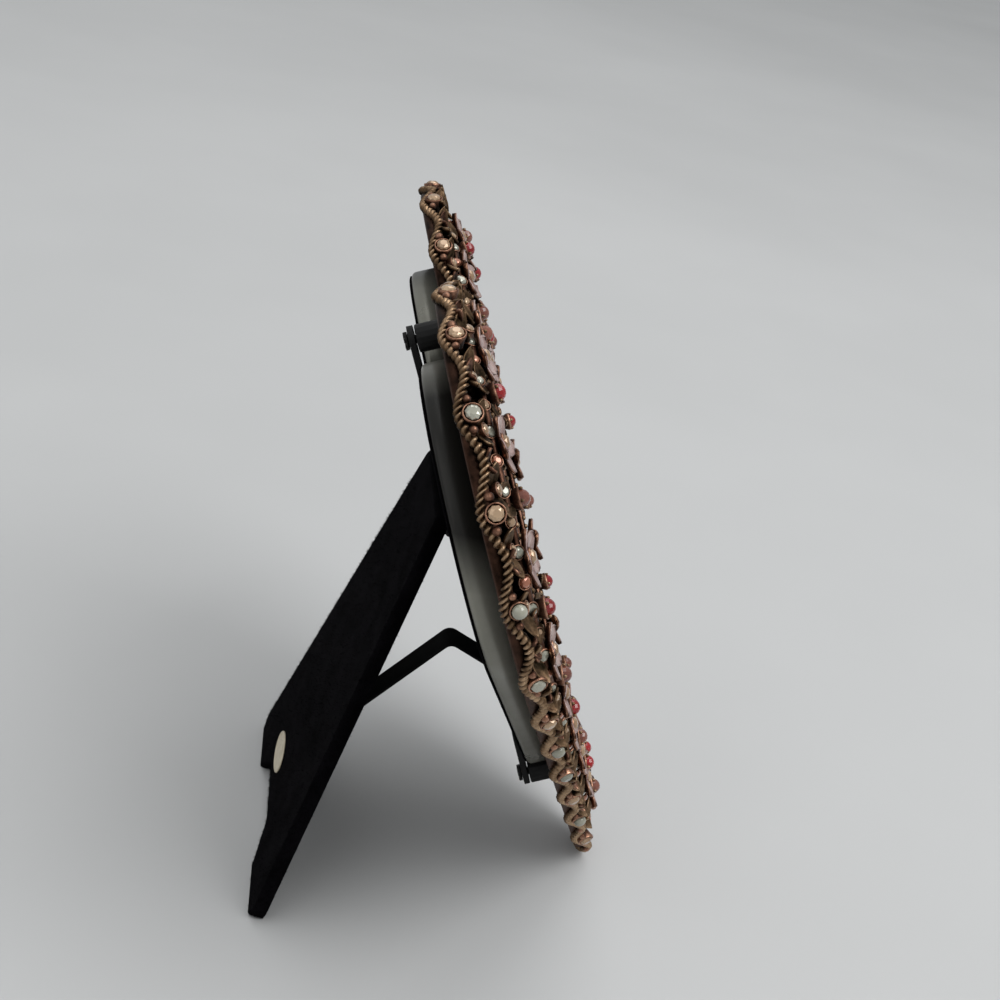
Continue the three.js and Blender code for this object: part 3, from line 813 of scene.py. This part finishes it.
# Front layer of the border
# A copper ring on short posts and a crimped gallery strip, clear of the plate. Flowers with five
# rose enamel petals alternate on it with raised cups; leaves and small stones run along its edges.
RING_HALF = 0.0031
RING_FRONT = -0.0031
RING_BACK = -0.0019
RING_ROUND = 0.0004
STATIONS = 40
POST_R = 0.0014
POST_WAIST = 0.8
POST_LONG = 0.0030
POST_FOOT = 0.0003
POSTS_EVERY = 4
PETALS = 5
PETAL = (0.0043, 0.0034)
PETAL_LIFT = math.radians(9)
PETAL_LIFTS = (0.8, 1.25)
PETAL_BEND = {"point": 0.5, "hollow": 0.15, "curl": 0.08}
PETAL_START = 0.0008
PETAL_RISE = 0.0004
PETAL_THICK = 0.0004
BACKING_MORE = (0.0003, 0.0004)
BACKING_IN = 0.0002
BACKING_RISE = 0.0001
BACKING_THICK = 0.0003
FLOWER_BACK = -0.0031
FLOWER_TILT = 0.12
FLOWER_TURN = 1.2
FLOWER_STONE_R = 0.0012
FLOWER_STONE_RISE = 0.0013
FLOWER_CUP_HIGH = 0.0022
EDGE_STATIONS = 80
EDGE_STONE_R = 0.0009
EDGE_SIZES = (0.85, 1.2)
EDGE_BACK = 0.0007
EDGE_OUT = 0.0003
EDGE_TILT = 0.7
EDGE_CUP_HIGH = 0.0014
RING_LEAF = (0.0036, 0.0023)
INNER_LEAF_IN = 0.0016
INNER_LEAF_SWAY = 0.4
INNER_LEAF_RISE = 0.12
OUTER_LEAF_OUT = 0.0022
OUTER_LEAF_APART = 0.0008
OUTER_LEAF_SPREAD = 0.8
OUTER_LEAF_TILT = 0.6
LEAF_DROOP = 0.5
RING_BEADS = 190
RING_BEAD_R = 0.00055
GALLERY_OUT = 0.0012
GALLERY_STEPS = 1440
GALLERY_WAVES = 180
GALLERY_SWING = 0.0006
GALLERY_THICK = 0.0003
GALLERY_BACK = 0.0006
ROSE_ROOT = (0.16, 0.055, 0.045, 1)
ROSE_LOW = (0.34, 0.215, 0.195, 1)
ROSE_HIGH = (0.50, 0.39, 0.36, 1)
RING_SHARE = 0.5
ring_heart = mixed_heart(RING_SHARE)


def make_rose_enamel():
    """Milky rose enamel, deeper at a petal's root and paler at its edge."""
    material, tree, shader = new_finish("rose_enamel", 0.22, Coat_Weight=0.5, Coat_Roughness=0.08)
    tint = put_group(tree, mottled, Scale=260.0, Low=ROSE_LOW, High=ROSE_HIGH)
    depth = stretched(tree, add(tree, "Attribute", attribute_name="rubbed")["Fac"], 0.15, 0.75)
    fill(tree, shader, Base_Color=mix_colours(tree, depth, ROSE_ROOT, tint["Colour"]))
    emboss(tree, shader, tint["Value"], 0.15, 0.0001)
    return material


rose_enamel = make_rose_enamel()
ring_section = []
for grow, back, wear in (
    (-RING_HALF, RING_FRONT + RING_ROUND, 0.7),
    (RING_ROUND - RING_HALF, RING_FRONT, 0.6),
    (0.0, RING_FRONT, 0.3),
    (RING_HALF - RING_ROUND, RING_FRONT, 0.6),
    (RING_HALF, RING_FRONT + RING_ROUND, 0.7),
    (RING_HALF, RING_BACK - RING_ROUND, 0.2),
    (RING_HALF - RING_ROUND, RING_BACK, 0.1),
    (RING_ROUND - RING_HALF, RING_BACK, 0.1),
    (-RING_HALF, RING_BACK - RING_ROUND, 0.2),
):
    ring_section.append((heart_line(ring_heart, grow), back, wear))
front_ring = moulding("front_ring", ring_section, plate_copper)
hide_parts("front_wreath")

gallery_inner, gallery_outer = [], []
for i, point, out, _ in evenly(heart_line(ring_heart, GALLERY_OUT), GALLERY_STEPS):
    swing = GALLERY_SWING * math.cos(math.tau * GALLERY_WAVES * i / GALLERY_STEPS)
    gallery_inner.append(point + (swing - GALLERY_THICK / 2) * out.xz)
    gallery_outer.append(point + (swing + GALLERY_THICK / 2) * out.xz)
gallery_section = (
    (gallery_outer, GALLERY_BACK, 0.0),
    (gallery_outer, RING_BACK - RING_ROUND, 0.3),
    (gallery_inner, RING_BACK - RING_ROUND, 0.3),
    (gallery_inner, GALLERY_BACK, 0.0),
)
moulding("gallery_strip", gallery_section, antique_copper)

post_waist = (POST_WAIST * POST_R, POST_LONG / 2)
post = turned(((0, 0), (POST_R, 0), post_waist, (POST_R, POST_LONG), (0, POST_LONG)), sides=14)
petal = leaf(*PETAL, **PETAL_BEND, thick=PETAL_THICK)
backing = leaf(PETAL[0] + BACKING_MORE[0], PETAL[1] + BACKING_MORE[1], **PETAL_BEND, thick=BACKING_THICK)
petal_start = Matrix.Translation((PETAL_START, 0, PETAL_RISE))
backing_start = Matrix.Translation((PETAL_START - BACKING_IN, 0, BACKING_RISE))
stations = evenly(heart_line(ring_heart), STATIONS)
posts, petals, petal_backs, flower_cups, flower_stones, ring_leaves = (new_heap() for _ in range(6))
for i, point, out, along in stations:
    if i % POSTS_EVERY == 0:
        put(posts, post, facing(standing(point, POST_FOOT), front_way))
    if i % 2 == 1:
        root = standing(point, RING_FRONT)
        sway = chance.uniform(-INNER_LEAF_SWAY, INNER_LEAF_SWAY)
        inward = -out + sway * along + INNER_LEAF_RISE * front_way
        put(ring_leaves, leaf(*RING_LEAF), laid(root - INNER_LEAF_IN * out, inward, front_way))
        for side in (-1, 1):
            drooped = out + OUTER_LEAF_SPREAD * side * along - LEAF_DROOP * front_way
            foot = root + OUTER_LEAF_OUT * out + OUTER_LEAF_APART * side * along
            lie = laid(foot, drooped, out + OUTER_LEAF_TILT * front_way)
            put(ring_leaves, leaf(*RING_LEAF), lie)
        continue
    bed = facing(standing(point, FLOWER_BACK), front_way + FLOWER_TILT * out, any_turn(FLOWER_TURN))
    for number in range(PETALS):
        way = Matrix.Rotation(math.tau * number / PETALS, 4, "Z")
        lift = Matrix.Rotation(-PETAL_LIFT * chance.uniform(*PETAL_LIFTS), 4, "Y")
        put(petals, petal, bed @ way @ petal_start @ lift, by_length)
        put(petal_backs, backing, bed @ way @ backing_start @ lift, by_length)
    mouth = bed @ Matrix.Translation((0, 0, FLOWER_STONE_RISE))
    set_in_cup(flower_stones, flower_cups, FLOWER_STONE_R, FLOWER_CUP_HIGH, mouth, HIGH_CROWN)
bead_row("ring_beads", heart_line(ring_heart, RING_BEAD_R - RING_HALF), RING_BEADS, RING_BEAD_R, RING_FRONT)
set_heap("ring_posts", posts, antique_copper)
set_heap("flower_petals", petals, rose_enamel)
set_heap("flower_backs", petal_backs, antique_copper)
set_heap("flower_cups", flower_cups, antique_copper)
set_stones("flower_stones", flower_stones, champagne_stone)
set_heap("ring_leaves", ring_leaves, antique_brass)

edge_cups = new_heap()
edge_stones = {peach_stone: new_heap(), clear_stone: new_heap(), champagne_stone: new_heap()}
edge_order = (peach_stone, clear_stone, champagne_stone, clear_stone)
for i, point, out, _ in evenly(heart_line(ring_heart, RING_HALF), EDGE_STATIONS, 0.5):
    look = (out + EDGE_TILT * front_way).normalized()
    size = EDGE_STONE_R * chance.uniform(*EDGE_SIZES)
    mouth = facing(standing(point, RING_FRONT + EDGE_BACK) + EDGE_OUT * look, look, any_turn())
    set_in_cup(edge_stones[edge_order[i % 4]], edge_cups, size, EDGE_CUP_HIGH, mouth)
set_heap("edge_cups", edge_cups, antique_copper)
for finish, heap in edge_stones.items():
    set_stones("edge_stones_" + finish.name.split("_")[0], heap, finish)

# Raised crystals
# High-domed ruby and peach glass stones in turn, in tall copper cups with four bent prongs.
# They stand furthest to the front.
CRYSTAL_R = 0.00145
CRYSTAL_MOUTH = -0.0048
CRYSTAL_CROWN = 0.0014
CRYSTAL_GIRDLE = 0.00008
CRYSTAL_POINT = 0.6
CRYSTAL_SIDES = 12
CRYSTAL_ROWS = 4
CRYSTAL_TILT = 0.12
CRYSTAL_CUP_HIGH = 0.0020
CRYSTAL_CUP_WALL = 0.00045
PRONGS = 4
PRONG_R = 0.0003
PRONG_TALL = 1.6
PRONG_OUT = 1.08
PRONG_UP = 0.15


def domed():
    """A high faceted dome with a short point behind; its girdle is at 0."""
    profile = [(0, -CRYSTAL_POINT * CRYSTAL_R), (CRYSTAL_R, -CRYSTAL_GIRDLE)]
    for row in range(CRYSTAL_ROWS):
        angle = math.pi / 2 * row / CRYSTAL_ROWS
        profile.append((CRYSTAL_R * math.cos(angle), CRYSTAL_GIRDLE + CRYSTAL_CROWN * math.sin(angle)))
    return turned(profile + [(0, CRYSTAL_GIRDLE + CRYSTAL_CROWN)], CRYSTAL_SIDES)


def make_crystal(name, low, high):
    """Clear coloured glass, polished, with deeper and paler stones."""
    gloss = {"IOR": 1.52, "Transmission_Weight": 0.45, "Coat_Weight": 0.25, "Coat_Roughness": 0.02}
    return clouded(name, 0.04, low, high, scale=150.0, detail=1.0, **gloss)


crystal_heaps = (new_heap(), new_heap())
crystal_cups, prongs = new_heap(), new_heap()
for i, point, out, _ in stations[1::2]:
    look = front_way + CRYSTAL_TILT * out
    mouth = facing(standing(point, CRYSTAL_MOUTH), look, any_turn())
    put(crystal_cups, cup(CRYSTAL_R + CRYSTAL_CUP_WALL, CRYSTAL_CUP_HIGH), mouth)
    put(crystal_heaps[i // 2 % 2], domed(), mouth)
    for prong in range(PRONGS):
        angle = math.tau * prong / PRONGS
        foot = PRONG_OUT * CRYSTAL_R * Vector((math.cos(angle), math.sin(angle), PRONG_UP))
        put(prongs, ball(PRONG_R, sides=8, rings=6, tall=PRONG_TALL), mouth @ Matrix.Translation(foot))
ruby = make_crystal("ruby_crystal", (0.34, 0.004, 0.007, 1), (0.58, 0.012, 0.016, 1))
peach = make_crystal("peach_crystal", (0.22, 0.062, 0.04, 1), (0.40, 0.14, 0.09, 1))
for heap, finish, colour in zip(crystal_heaps, (ruby, peach), ("red", "peach")):
    crystals = set_stones(colour + "_crystals", heap, finish)
    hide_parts(*("%s_crystal_%02d" % (colour, n + 1) for n in range(STATIONS // 4)))
set_heap("crystal_cups", crystal_cups, antique_copper)
set_heap("crystal_prongs", prongs, antique_brass)

# Box behind the border
# A shallow wall of satin pewter-coloured metal, bent to the heart and soldered to the plate.
# It holds the glass, the picture and the back.
BOX = {"lobe_r": 0.0285, "lap": 0.0040, "lobe_up": 0.0962, "tip_up": 0.0340, "tip_r": 0.0072}
BOX_FRONT = 0.0020
BOX_BACK = 0.0072
BOX_WALL = 0.0013
BOX_ROUND = 0.0010
BOX_ROUND_STEPS = 5
PEWTER_LOW = (0.190, 0.186, 0.157, 1)
PEWTER_HIGH = (0.265, 0.261, 0.224, 1)
# The wall's dark colour at its shoulders is painted shade, standing in for a dark reflection.
PAINTED_SHADE_COLOUR = (0.012, 0.011, 0.010, 1)
PAINTED_SHADE_ACROSS = (0.020, 0.032)
PAINTED_SHADE_UP = (0.087, 0.096)
PAINTED_SHADE_STRENGTH = 0.96
PEWTER_ROUGH = (0.36, 0.26)


def make_pewter():
    """Dull metal with fine lines drawn round the wall, with painted shade at its shoulders that stands in
    for a dark reflection.
    """
    material, tree, shader = new_finish("pewter_wall", 0.3, 0.35, Specular_IOR_Level=0.3)
    clouds = put_group(tree, mottled, Scale=70.0, Low=PEWTER_LOW, High=PEWTER_HIGH)
    place = add(tree, "TexCoord")["Object"]
    split = add(tree, "SeparateXYZ", Vector=place)
    # Painted shade: the wall is painted dark where it is wide and high, at its shoulders.
    across = stretched(tree, reckon(tree, "ABSOLUTE", split["X"]), *PAINTED_SHADE_ACROSS)
    painted_shade = reckon(tree, "MULTIPLY", across, stretched(tree, split["Z"], *PAINTED_SHADE_UP, 0.0, PAINTED_SHADE_STRENGTH))
    rough = stretched(tree, clouds["Value"], 0, 1, *PEWTER_ROUGH)
    fill(tree, shader, Base_Color=mix_colours(tree, painted_shade, clouds["Colour"], PAINTED_SHADE_COLOUR), Roughness=rough)
    turn = (math.atan2(-back_way.z, back_way.y), 0, 0)
    drawn = add(tree, "Mapping", Vector=place, Rotation=turn, Scale=(50.0, 1600.0, 50.0))
    lines = add(tree, "TexNoise", Vector=drawn["Vector"], Scale=1.0, Detail=4.0)
    emboss(tree, shader, lines["Fac"], 0.2, 0.00005)
    return material


box_section = [(0.0, BOX_FRONT)]
for step in range(BOX_ROUND_STEPS + 1):
    angle = math.pi / 2 * step / BOX_ROUND_STEPS
    box_section.append((BOX_ROUND * (math.cos(angle) - 1), BOX_BACK + BOX_ROUND * (math.sin(angle) - 1)))
box_section += [(-BOX_WALL, BOX_BACK), (-BOX_WALL, BOX_FRONT)]
box_loops = stood((heart_line(BOX, grow), back) for grow, back in box_section)
box_wall = make_piece("box_wall", loft(box_loops), leaning, make_pewter(), "frame")
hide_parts("rear_box")

# Glass, picture and filler
# A pane of clear glass, a blank picture card and a grey filler card, cut to the box.
# They lie loose, one on the other.


def make_glass():
    """Clear float glass, very slightly uneven."""
    material, tree, shader = new_finish("picture_glass", 0.0, Transmission_Weight=1.0, IOR=1.5)
    clouds = put_group(tree, mottled, Scale=40.0, Low=(0.93, 0.97, 0.96, 1), High=(0.97, 0.99, 0.985, 1))
    rough = stretched(tree, clouds["Value"], 0, 1, 0.0, 0.05)
    fill(tree, shader, Base_Color=clouds["Colour"], Roughness=rough)
    return material


def make_card(name, low, high):
    """Pulp card with its fibres."""
    return clouded(name, 0.8, low, high, scale=900.0, detail=8.0, relief=(0.2, 0.0001))


def dress(name, finish):
    """Gives a kept solid its finish."""
    node = frame["nodes"][name]
    node.data.materials.clear()
    node.data.materials.append(finish)


dress("glass_pane", make_glass())
dress("photo_card", make_card("picture_card", (0.66, 0.62, 0.55, 1), (0.76, 0.72, 0.65, 1)))
dress("filler_card", make_card("filler_card", (0.28, 0.26, 0.23, 1), (0.42, 0.39, 0.35, 1)))

# Back panel
# A pressed board in the box, covered on the outside with black velvet that laps over the wall.
# The turn buttons hold it in.
PANEL_FIT = 0.0004
VELVET_FRONT = 0.0070
VELVET_BACK = 0.0075
VELVET_OFF = 0.00004
VELVET_LIP = 0.0006
VELVET_ROUND = 0.0003
PILE_LONG = 0.00055
PILE_SHORTEST = 0.4
PILE_WIDE = 0.00012
PILE_SUNK = 0.00005
PILE_EDGE = 10
PILE_FLAT = 0.95
PILE_LEAN = 0.5
PILE_CLEAR = 0.006
PILE_FOOT = ((1.0, 0.0), (-0.5, 0.87), (-0.5, -0.87))
VELVET_LOW = (0.0006, 0.0005, 0.0008, 1)
VELVET_HIGH = (0.005, 0.0045, 0.0056, 1)


def make_velvet():
    """Black cotton velvet, almost without shine."""
    dull = {"Specular_IOR_Level": 0.012, "Sheen_Weight": 0.004, "Sheen_Roughness": 0.4}
    material, tree, shader = new_finish("black_velvet", 0.95, **dull)
    nap = put_group(tree, mottled, Scale=130.0, Detail=6.0, Low=VELVET_LOW, High=VELVET_HIGH)
    fill(tree, shader, Base_Color=nap["Colour"])
    emboss(tree, shader, put_group(tree, mottled, Scale=3500.0)["Value"], 0.6, 0.0002)
    return material


black_velvet = make_velvet()
black_board = make_card("black_board", (0.006, 0.0055, 0.0055, 1), (0.016, 0.015, 0.0145, 1))
dress("back_board", black_board)


def make_pile(name, cloth, way, body, count):
    """Short fibres on a velvet piece, as thin closed spikes: most on its edges and none by the hinge."""
    points, faces = [], []
    cloth.data.calc_loop_triangles()
    patches = list(cloth.data.loop_triangles)
    flat = [abs(patch.normal.dot(way)) > PILE_FLAT for patch in patches]
    shares = [patch.area * (1 if even else PILE_EDGE) for patch, even in zip(patches, flat)]
    for face in chance.choices(patches, shares, k=count):
        a, b, c = (cloth.data.vertices[i].co for i in face.vertices)
        across, along = sorted((chance.random(), chance.random()))
        root = a * across + b * (along - across) + c * (1 - along)
        lean = Vector((chance.uniform(-1, 1), chance.uniform(-1, 1), chance.uniform(-1, 1)))
        rise = (face.normal + PILE_LEAN * lean).normalized() * PILE_LONG
        rise = rise * chance.uniform(PILE_SHORTEST, 1.0)
        if (root - hinge_at).yz.length < PILE_CLEAR:
            continue
        side = face.normal.orthogonal().normalized() * PILE_WIDE / 2
        other = face.normal.cross(side)
        sunk = root - PILE_SUNK * face.normal
        first = len(points)
        points += [sunk + u * side + v * other for u, v in PILE_FOOT] + [root + rise]
        for a, b, c in ((0, 1, 2), (0, 1, 3), (1, 2, 3), (2, 0, 3)):
            faces.append((first + a, first + b, first + c))
    return make_piece(name, (points, faces), Matrix.Identity(4), black_velvet, body)


panel_grow = -BOX_WALL - PANEL_FIT
panel_section = (
    (panel_grow, VELVET_FRONT),
    (panel_grow, BOX_BACK + VELVET_OFF),
    (-VELVET_LIP, BOX_BACK + VELVET_OFF),
    (-VELVET_LIP, VELVET_BACK),
    (-VELVET_LIP - VELVET_ROUND, VELVET_BACK + VELVET_ROUND / 2),
)
panel_loops = stood((heart_line(BOX, grow), back) for grow, back in panel_section)
panel_velvet = make_piece(
    "panel_velvet", loft(panel_loops, closed=False), leaning, black_velvet, "frame"
)
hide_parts("back_velvet")
panel_line = heart_line(BOX, -VELVET_LIP)

# Turn buttons
# A black button on a slotted screw turns on a post, one at the notch and one at the tip.
# Each reaches over the edge of the back and keeps it in.
BUTTON_EDGE = 0.0003
SHEET_EDGE = 0.00012
PAINT_LOW = (0.0016, 0.0016, 0.0018, 1)
PAINT_HIGH = (0.0045, 0.0045, 0.0048, 1)
PAINT_WORN = (0.014, 0.0135, 0.013, 1)
PAINT_ROUGH = (0.42, 0.62)


def make_black_metal():
    """Satin black paint on steel, thinner on the edges."""
    material, tree, shader = new_finish("black_metal", 0.5, Specular_IOR_Level=0.2)
    worn = stretched(tree, add(tree, "NewGeometry")["Pointiness"], 0.52, 0.62)
    clouds = put_group(tree, mottled, Scale=700.0, Low=PAINT_LOW, High=PAINT_HIGH)
    rough = stretched(tree, clouds["Value"], 0, 1, *PAINT_ROUGH)
    fill(tree, shader, Base_Color=mix_colours(tree, worn, clouds["Colour"], PAINT_WORN), Roughness=rough)
    emboss(tree, shader, clouds["Value"], 0.15, 0.0001)
    return material


black_metal = make_black_metal()


def soften(name, width):
    """Rounds the edges of a kept solid as it shows."""
    node = frame["nodes"][name]
    weld = node.modifiers.new("weld", "WELD")
    weld.merge_threshold = 1e-6
    bevel = node.modifiers.new("soft_edges", "BEVEL")
    bevel.width = width
    bevel.segments = 3
    bevel.limit_method = "ANGLE"
    bevel.angle_limit = math.radians(50)


for button in ("turn_button_top", "turn_button_low"):
    for part, edge in (("", BUTTON_EDGE), ("_post", BUTTON_EDGE), ("_screw", SHEET_EDGE)):
        dress(button + part, black_metal)
        soften(button + part, edge)

# Easel hinge
# Two black steel leaves with curled knuckles on a pin, riveted to the back and to the leg.
# The ribbon's ends have a rivet each too.
for leaf_or_pin in ("hinge_leaf_back", "hinge_leaf_leg", "hinge_pin"):
    dress(leaf_or_pin, black_metal)
    soften(leaf_or_pin, SHEET_EDGE)
for side in ("back", "leg"):
    for rivet in ("hinge_rivet_%s_1", "hinge_rivet_%s_2", "ribbon_rivet_%s"):
        dress(rivet % side, black_metal)

# Easel leg
# A flared black board with two feet and an arch between them.
# Velvet covers its outer face and turns over its edges.
LEG_OPEN = math.radians(39.2)
LEG_INNER = 0.0019
LEG_FACE = 0.0046
LEG_HEAD_HALF = 0.0150
LEG_HEAD = 0.0025
LEG_FOOT_HALF = 0.0330
FOOT_ROUND = 0.0022
FOOT_SPARE = 0.0040
FOOT_INNER_HALF = 0.0165
ARCH_HALF = 0.0100
ARCH_RISE = 0.0062
LEG_CORNER = 0.0016
COVER_OVER = 0.00025
COVER_ROUND = 0.0007
COVER_EASE = 0.3
LEG_PILE = 16000
hinge_place = leaning @ Matrix.Translation((0, HINGE_BACK, HINGE_UP))
leg_place = hinge_place @ Matrix.Rotation(LEG_OPEN, 4, "X")
leg_down = leg_place.to_3x3() @ Vector((0, 0, -1))
leg_stand = -(leg_place @ Vector((0, LEG_FACE, 0))).z / leg_down.z


def bent(before, corner, after, radius, most, steps):
    """A corner bent round; it takes no more than a share of 1 / most from either side."""
    before, after = before - corner, after - corner
    start = corner + before.normalized() * min(radius, before.length / most)
    end = corner + after.normalized() * min(radius, after.length / most)
    ways = [step / steps for step in range(steps + 1)]
    return [(1 - t) ** 2 * start + 2 * t * (1 - t) * corner + t ** 2 * end for t in ways]


def rounded(corners, radius):
    """A closed outline with its corners rounded off."""
    line = []
    for i, corner in enumerate(corners):
        line += bent(corners[i - 1], corner, corners[(i + 1) % len(corners)], radius, most=2.5, steps=5)
    return line


def offset_line(line, by):
    """A closed outline moved outwards by a little."""
    moved = []
    for i, point in enumerate(line):
        before = (point - line[i - 1]).normalized()
        after = (line[(i + 1) % len(line)] - point).normalized()
        moved.append(point + by * Vector((before.y + after.y, -before.x - after.x)).normalized())
    return moved


leg_half = [
    Vector((ARCH_HALF, ARCH_RISE - leg_stand)),
    Vector((FOOT_INNER_HALF, -leg_stand)),
    Vector((FOOT_INNER_HALF, -leg_stand - FOOT_SPARE)),
    Vector((LEG_FOOT_HALF - FOOT_ROUND, -leg_stand - FOOT_SPARE)),
    Vector((LEG_FOOT_HALF - FOOT_ROUND, -leg_stand)),
    Vector((LEG_FOOT_HALF, FOOT_ROUND - leg_stand)),
    Vector((LEG_HEAD_HALF, LEG_HEAD)),
]
leg_other_half = [Vector((-corner.x, corner.y)) for corner in reversed(leg_half)]
leg_line = rounded(leg_half + leg_other_half, LEG_CORNER)
cover_section = (
    (COVER_OVER, LEG_INNER),
    (COVER_OVER, LEG_FACE - COVER_ROUND),
    (COVER_OVER - COVER_EASE * COVER_ROUND, LEG_FACE - COVER_EASE * COVER_ROUND),
    (COVER_OVER - COVER_ROUND, LEG_FACE),
)
cover_loops = stood((offset_line(leg_line, over), back) for over, back in cover_section)
leg_cover = make_piece(
    "leg_cover", loft(cover_loops, closed=False), leg_place, black_velvet, "leg"
)
cut_at_table(leg_cover)
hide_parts("leg_velvet")
leg_out = leg_place.to_3x3() @ Vector((0, 1, 0))
leg_pile = make_pile("leg_pile", leg_cover, leg_out, "leg", LEG_PILE)
cut_at_table(leg_pile)
dress("leg_board", black_board)

# Label
# A small blank oval of pale gold card, stuck low on the leg.
# Its edge is embossed.
LABEL_HALF_WIDE = 0.0065
LABEL_HALF_TALL = 0.0028
LABEL_ACROSS = 0.0060
LABEL_DOWN = 0.0696
LABEL_OFF = 0.0001
LABEL_THICK = 0.0002
LABEL_RIM = 0.0005
LABEL_SIDES = 48
LABEL_SECTION = ((0, 0), (0, 1.0), (0.4, 1.6), (0.8, 1.6), (1.0, 1.1), (1.2, 1.0))
LABEL_LOW = (0.44, 0.385, 0.27, 1)
LABEL_HIGH = (0.57, 0.51, 0.39, 1)
label_card = clouded("label_card", 0.42, LABEL_LOW, LABEL_HIGH, scale=500.0, relief=(0.1, 0.00005))
label_loops = []
for inset, rise in LABEL_SECTION:
    loop = []
    for i in range(LABEL_SIDES):
        angle = math.tau * i / LABEL_SIDES
        across = LABEL_ACROSS + (LABEL_HALF_WIDE - inset * LABEL_RIM) * math.cos(angle)
        up = (LABEL_HALF_TALL - inset * LABEL_RIM) * math.sin(angle) - LABEL_DOWN
        loop.append(Vector((across, LEG_FACE + LABEL_OFF + rise * LABEL_THICK, up)))
    label_loops.append(loop)
label = make_piece("leg_label", loft(label_loops, closed=False), leg_place, label_card, "leg")
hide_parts("label_oval")

# Ribbon stay
# A black grosgrain ribbon, riveted to the back and to the leg, which keeps the leg from opening too far.
# It has a crease where it folds when the leg closes.
RIBBON_WIDE = 0.0064
RIBBON_THICK = 0.00045
RIBBON_OFF = 0.00155
RIBBON_BACK_AT = 0.0384
RIBBON_LEG_AT = 0.0575
RIBBON_BACK_PART = 0.0124
RIBBON_LEG_PART = 0.0344
RIBBON_TAB = 0.0070
RIBBON_BEND = 0.0016
RIBBON_ACROSS = 6
RIBBON_DARK = (0.0015, 0.0015, 0.002, 1)
RIBBON_RIB = (0.006, 0.006, 0.0068, 1)


def make_grosgrain():
    """Black ribbon with fine ribs across it."""
    material, tree, shader = new_finish("black_ribbon", 0.8, Specular_IOR_Level=0.12)
    weave = {"bands_direction": "Y", "Scale": 10.0, "Distortion": 0.4, "Detail": 2.0}
    ribs = add(tree, "TexWave", Vector=add(tree, "UVMap")["UV"], **weave)["Fac"]
    fill(tree, shader, Base_Color=mix_colours(tree, ribs, RIBBON_DARK, RIBBON_RIB))
    emboss(tree, shader, ribs, 0.5, 0.0001)
    return material


def below_hinge(down, out, turn=0.0):
    """A place below the hinge, as down the back and out from it, turned with the leg."""
    x = down * math.cos(turn) - out * math.sin(turn)
    y = down * math.sin(turn) + out * math.cos(turn)
    return Vector((x, y))


def soft_corners(line, radius):
    """An open line with its corners bent round."""
    soft = [line[0]]
    for before, corner, after in zip(line, line[1:], line[2:]):
        soft += bent(before, corner, after, radius, most=2.2, steps=8)
    return soft + [line[-1]]


back_end = below_hinge(RIBBON_BACK_AT, -RIBBON_OFF)
leg_end = below_hinge(RIBBON_LEG_AT, RIBBON_OFF, LEG_OPEN)
span = leg_end - back_end
sides = span.length ** 2 + RIBBON_BACK_PART ** 2 - RIBBON_LEG_PART ** 2
heading = math.atan2(span.y, span.x) + math.acos(sides / (2 * span.length * RIBBON_BACK_PART))
crease = back_end + RIBBON_BACK_PART * Vector((math.cos(heading), math.sin(heading)))
back_tab = below_hinge(RIBBON_BACK_AT + RIBBON_TAB, -RIBBON_OFF)
leg_tab = below_hinge(RIBBON_LEG_AT + RIBBON_TAB, RIBBON_OFF, LEG_OPEN)
ribbon_line = soft_corners([back_tab, back_end, crease, leg_end, leg_tab], RIBBON_BEND)


def ribbon_loops(line):
    """The ribbon's section along its line: a thin strip across the hinge."""
    loops = []
    for i, point in enumerate(line):
        along = (line[min(i + 1, len(line) - 1)] - line[max(i - 1, 0)]).normalized()
        off = RIBBON_THICK / 2 * Vector((-along.y, along.x))
        steps = [RIBBON_WIDE * (step / RIBBON_ACROSS - 0.5) for step in range(RIBBON_ACROSS + 1)]
        face, back = point + off, point - off
        loop = [Vector((across, face.y, -face.x)) for across in steps]
        loops.append(loop + [Vector((across, back.y, -back.x)) for across in reversed(steps)])
    return loops


def unroll(mesh, line):
    """Texture coordinates across and along the ribbon, in its own widths."""
    layer = mesh.uv_layers.new(name="ribbon")
    lengths = [0.0]
    for start, end in zip(line, line[1:]):
        lengths.append(lengths[-1] + (end - start).length)
    row = 2 * (RIBBON_ACROSS + 1)
    for loop in mesh.loops:
        station, across = divmod(loop.vertex_index, row)
        layer.data[loop.index].uv = (across / row, lengths[station] / RIBBON_WIDE)


ribbon_mesh = bpy.data.meshes.new("ribbon_strip")
ribbon_points, ribbon_faces = loft(ribbon_loops(ribbon_line), closed=False)
ribbon_mesh.from_pydata([tuple(point) for point in ribbon_points], [], ribbon_faces)
unroll(ribbon_mesh, ribbon_line)
ribbon_mesh.transform(hinge_place)
ribbon_mesh.materials.append(make_grosgrain())
ribbon = bpy.data.objects.new("ribbon_strip", ribbon_mesh)
scene.collection.objects.link(ribbon)
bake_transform(ribbon)
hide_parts("ribbon_stay")
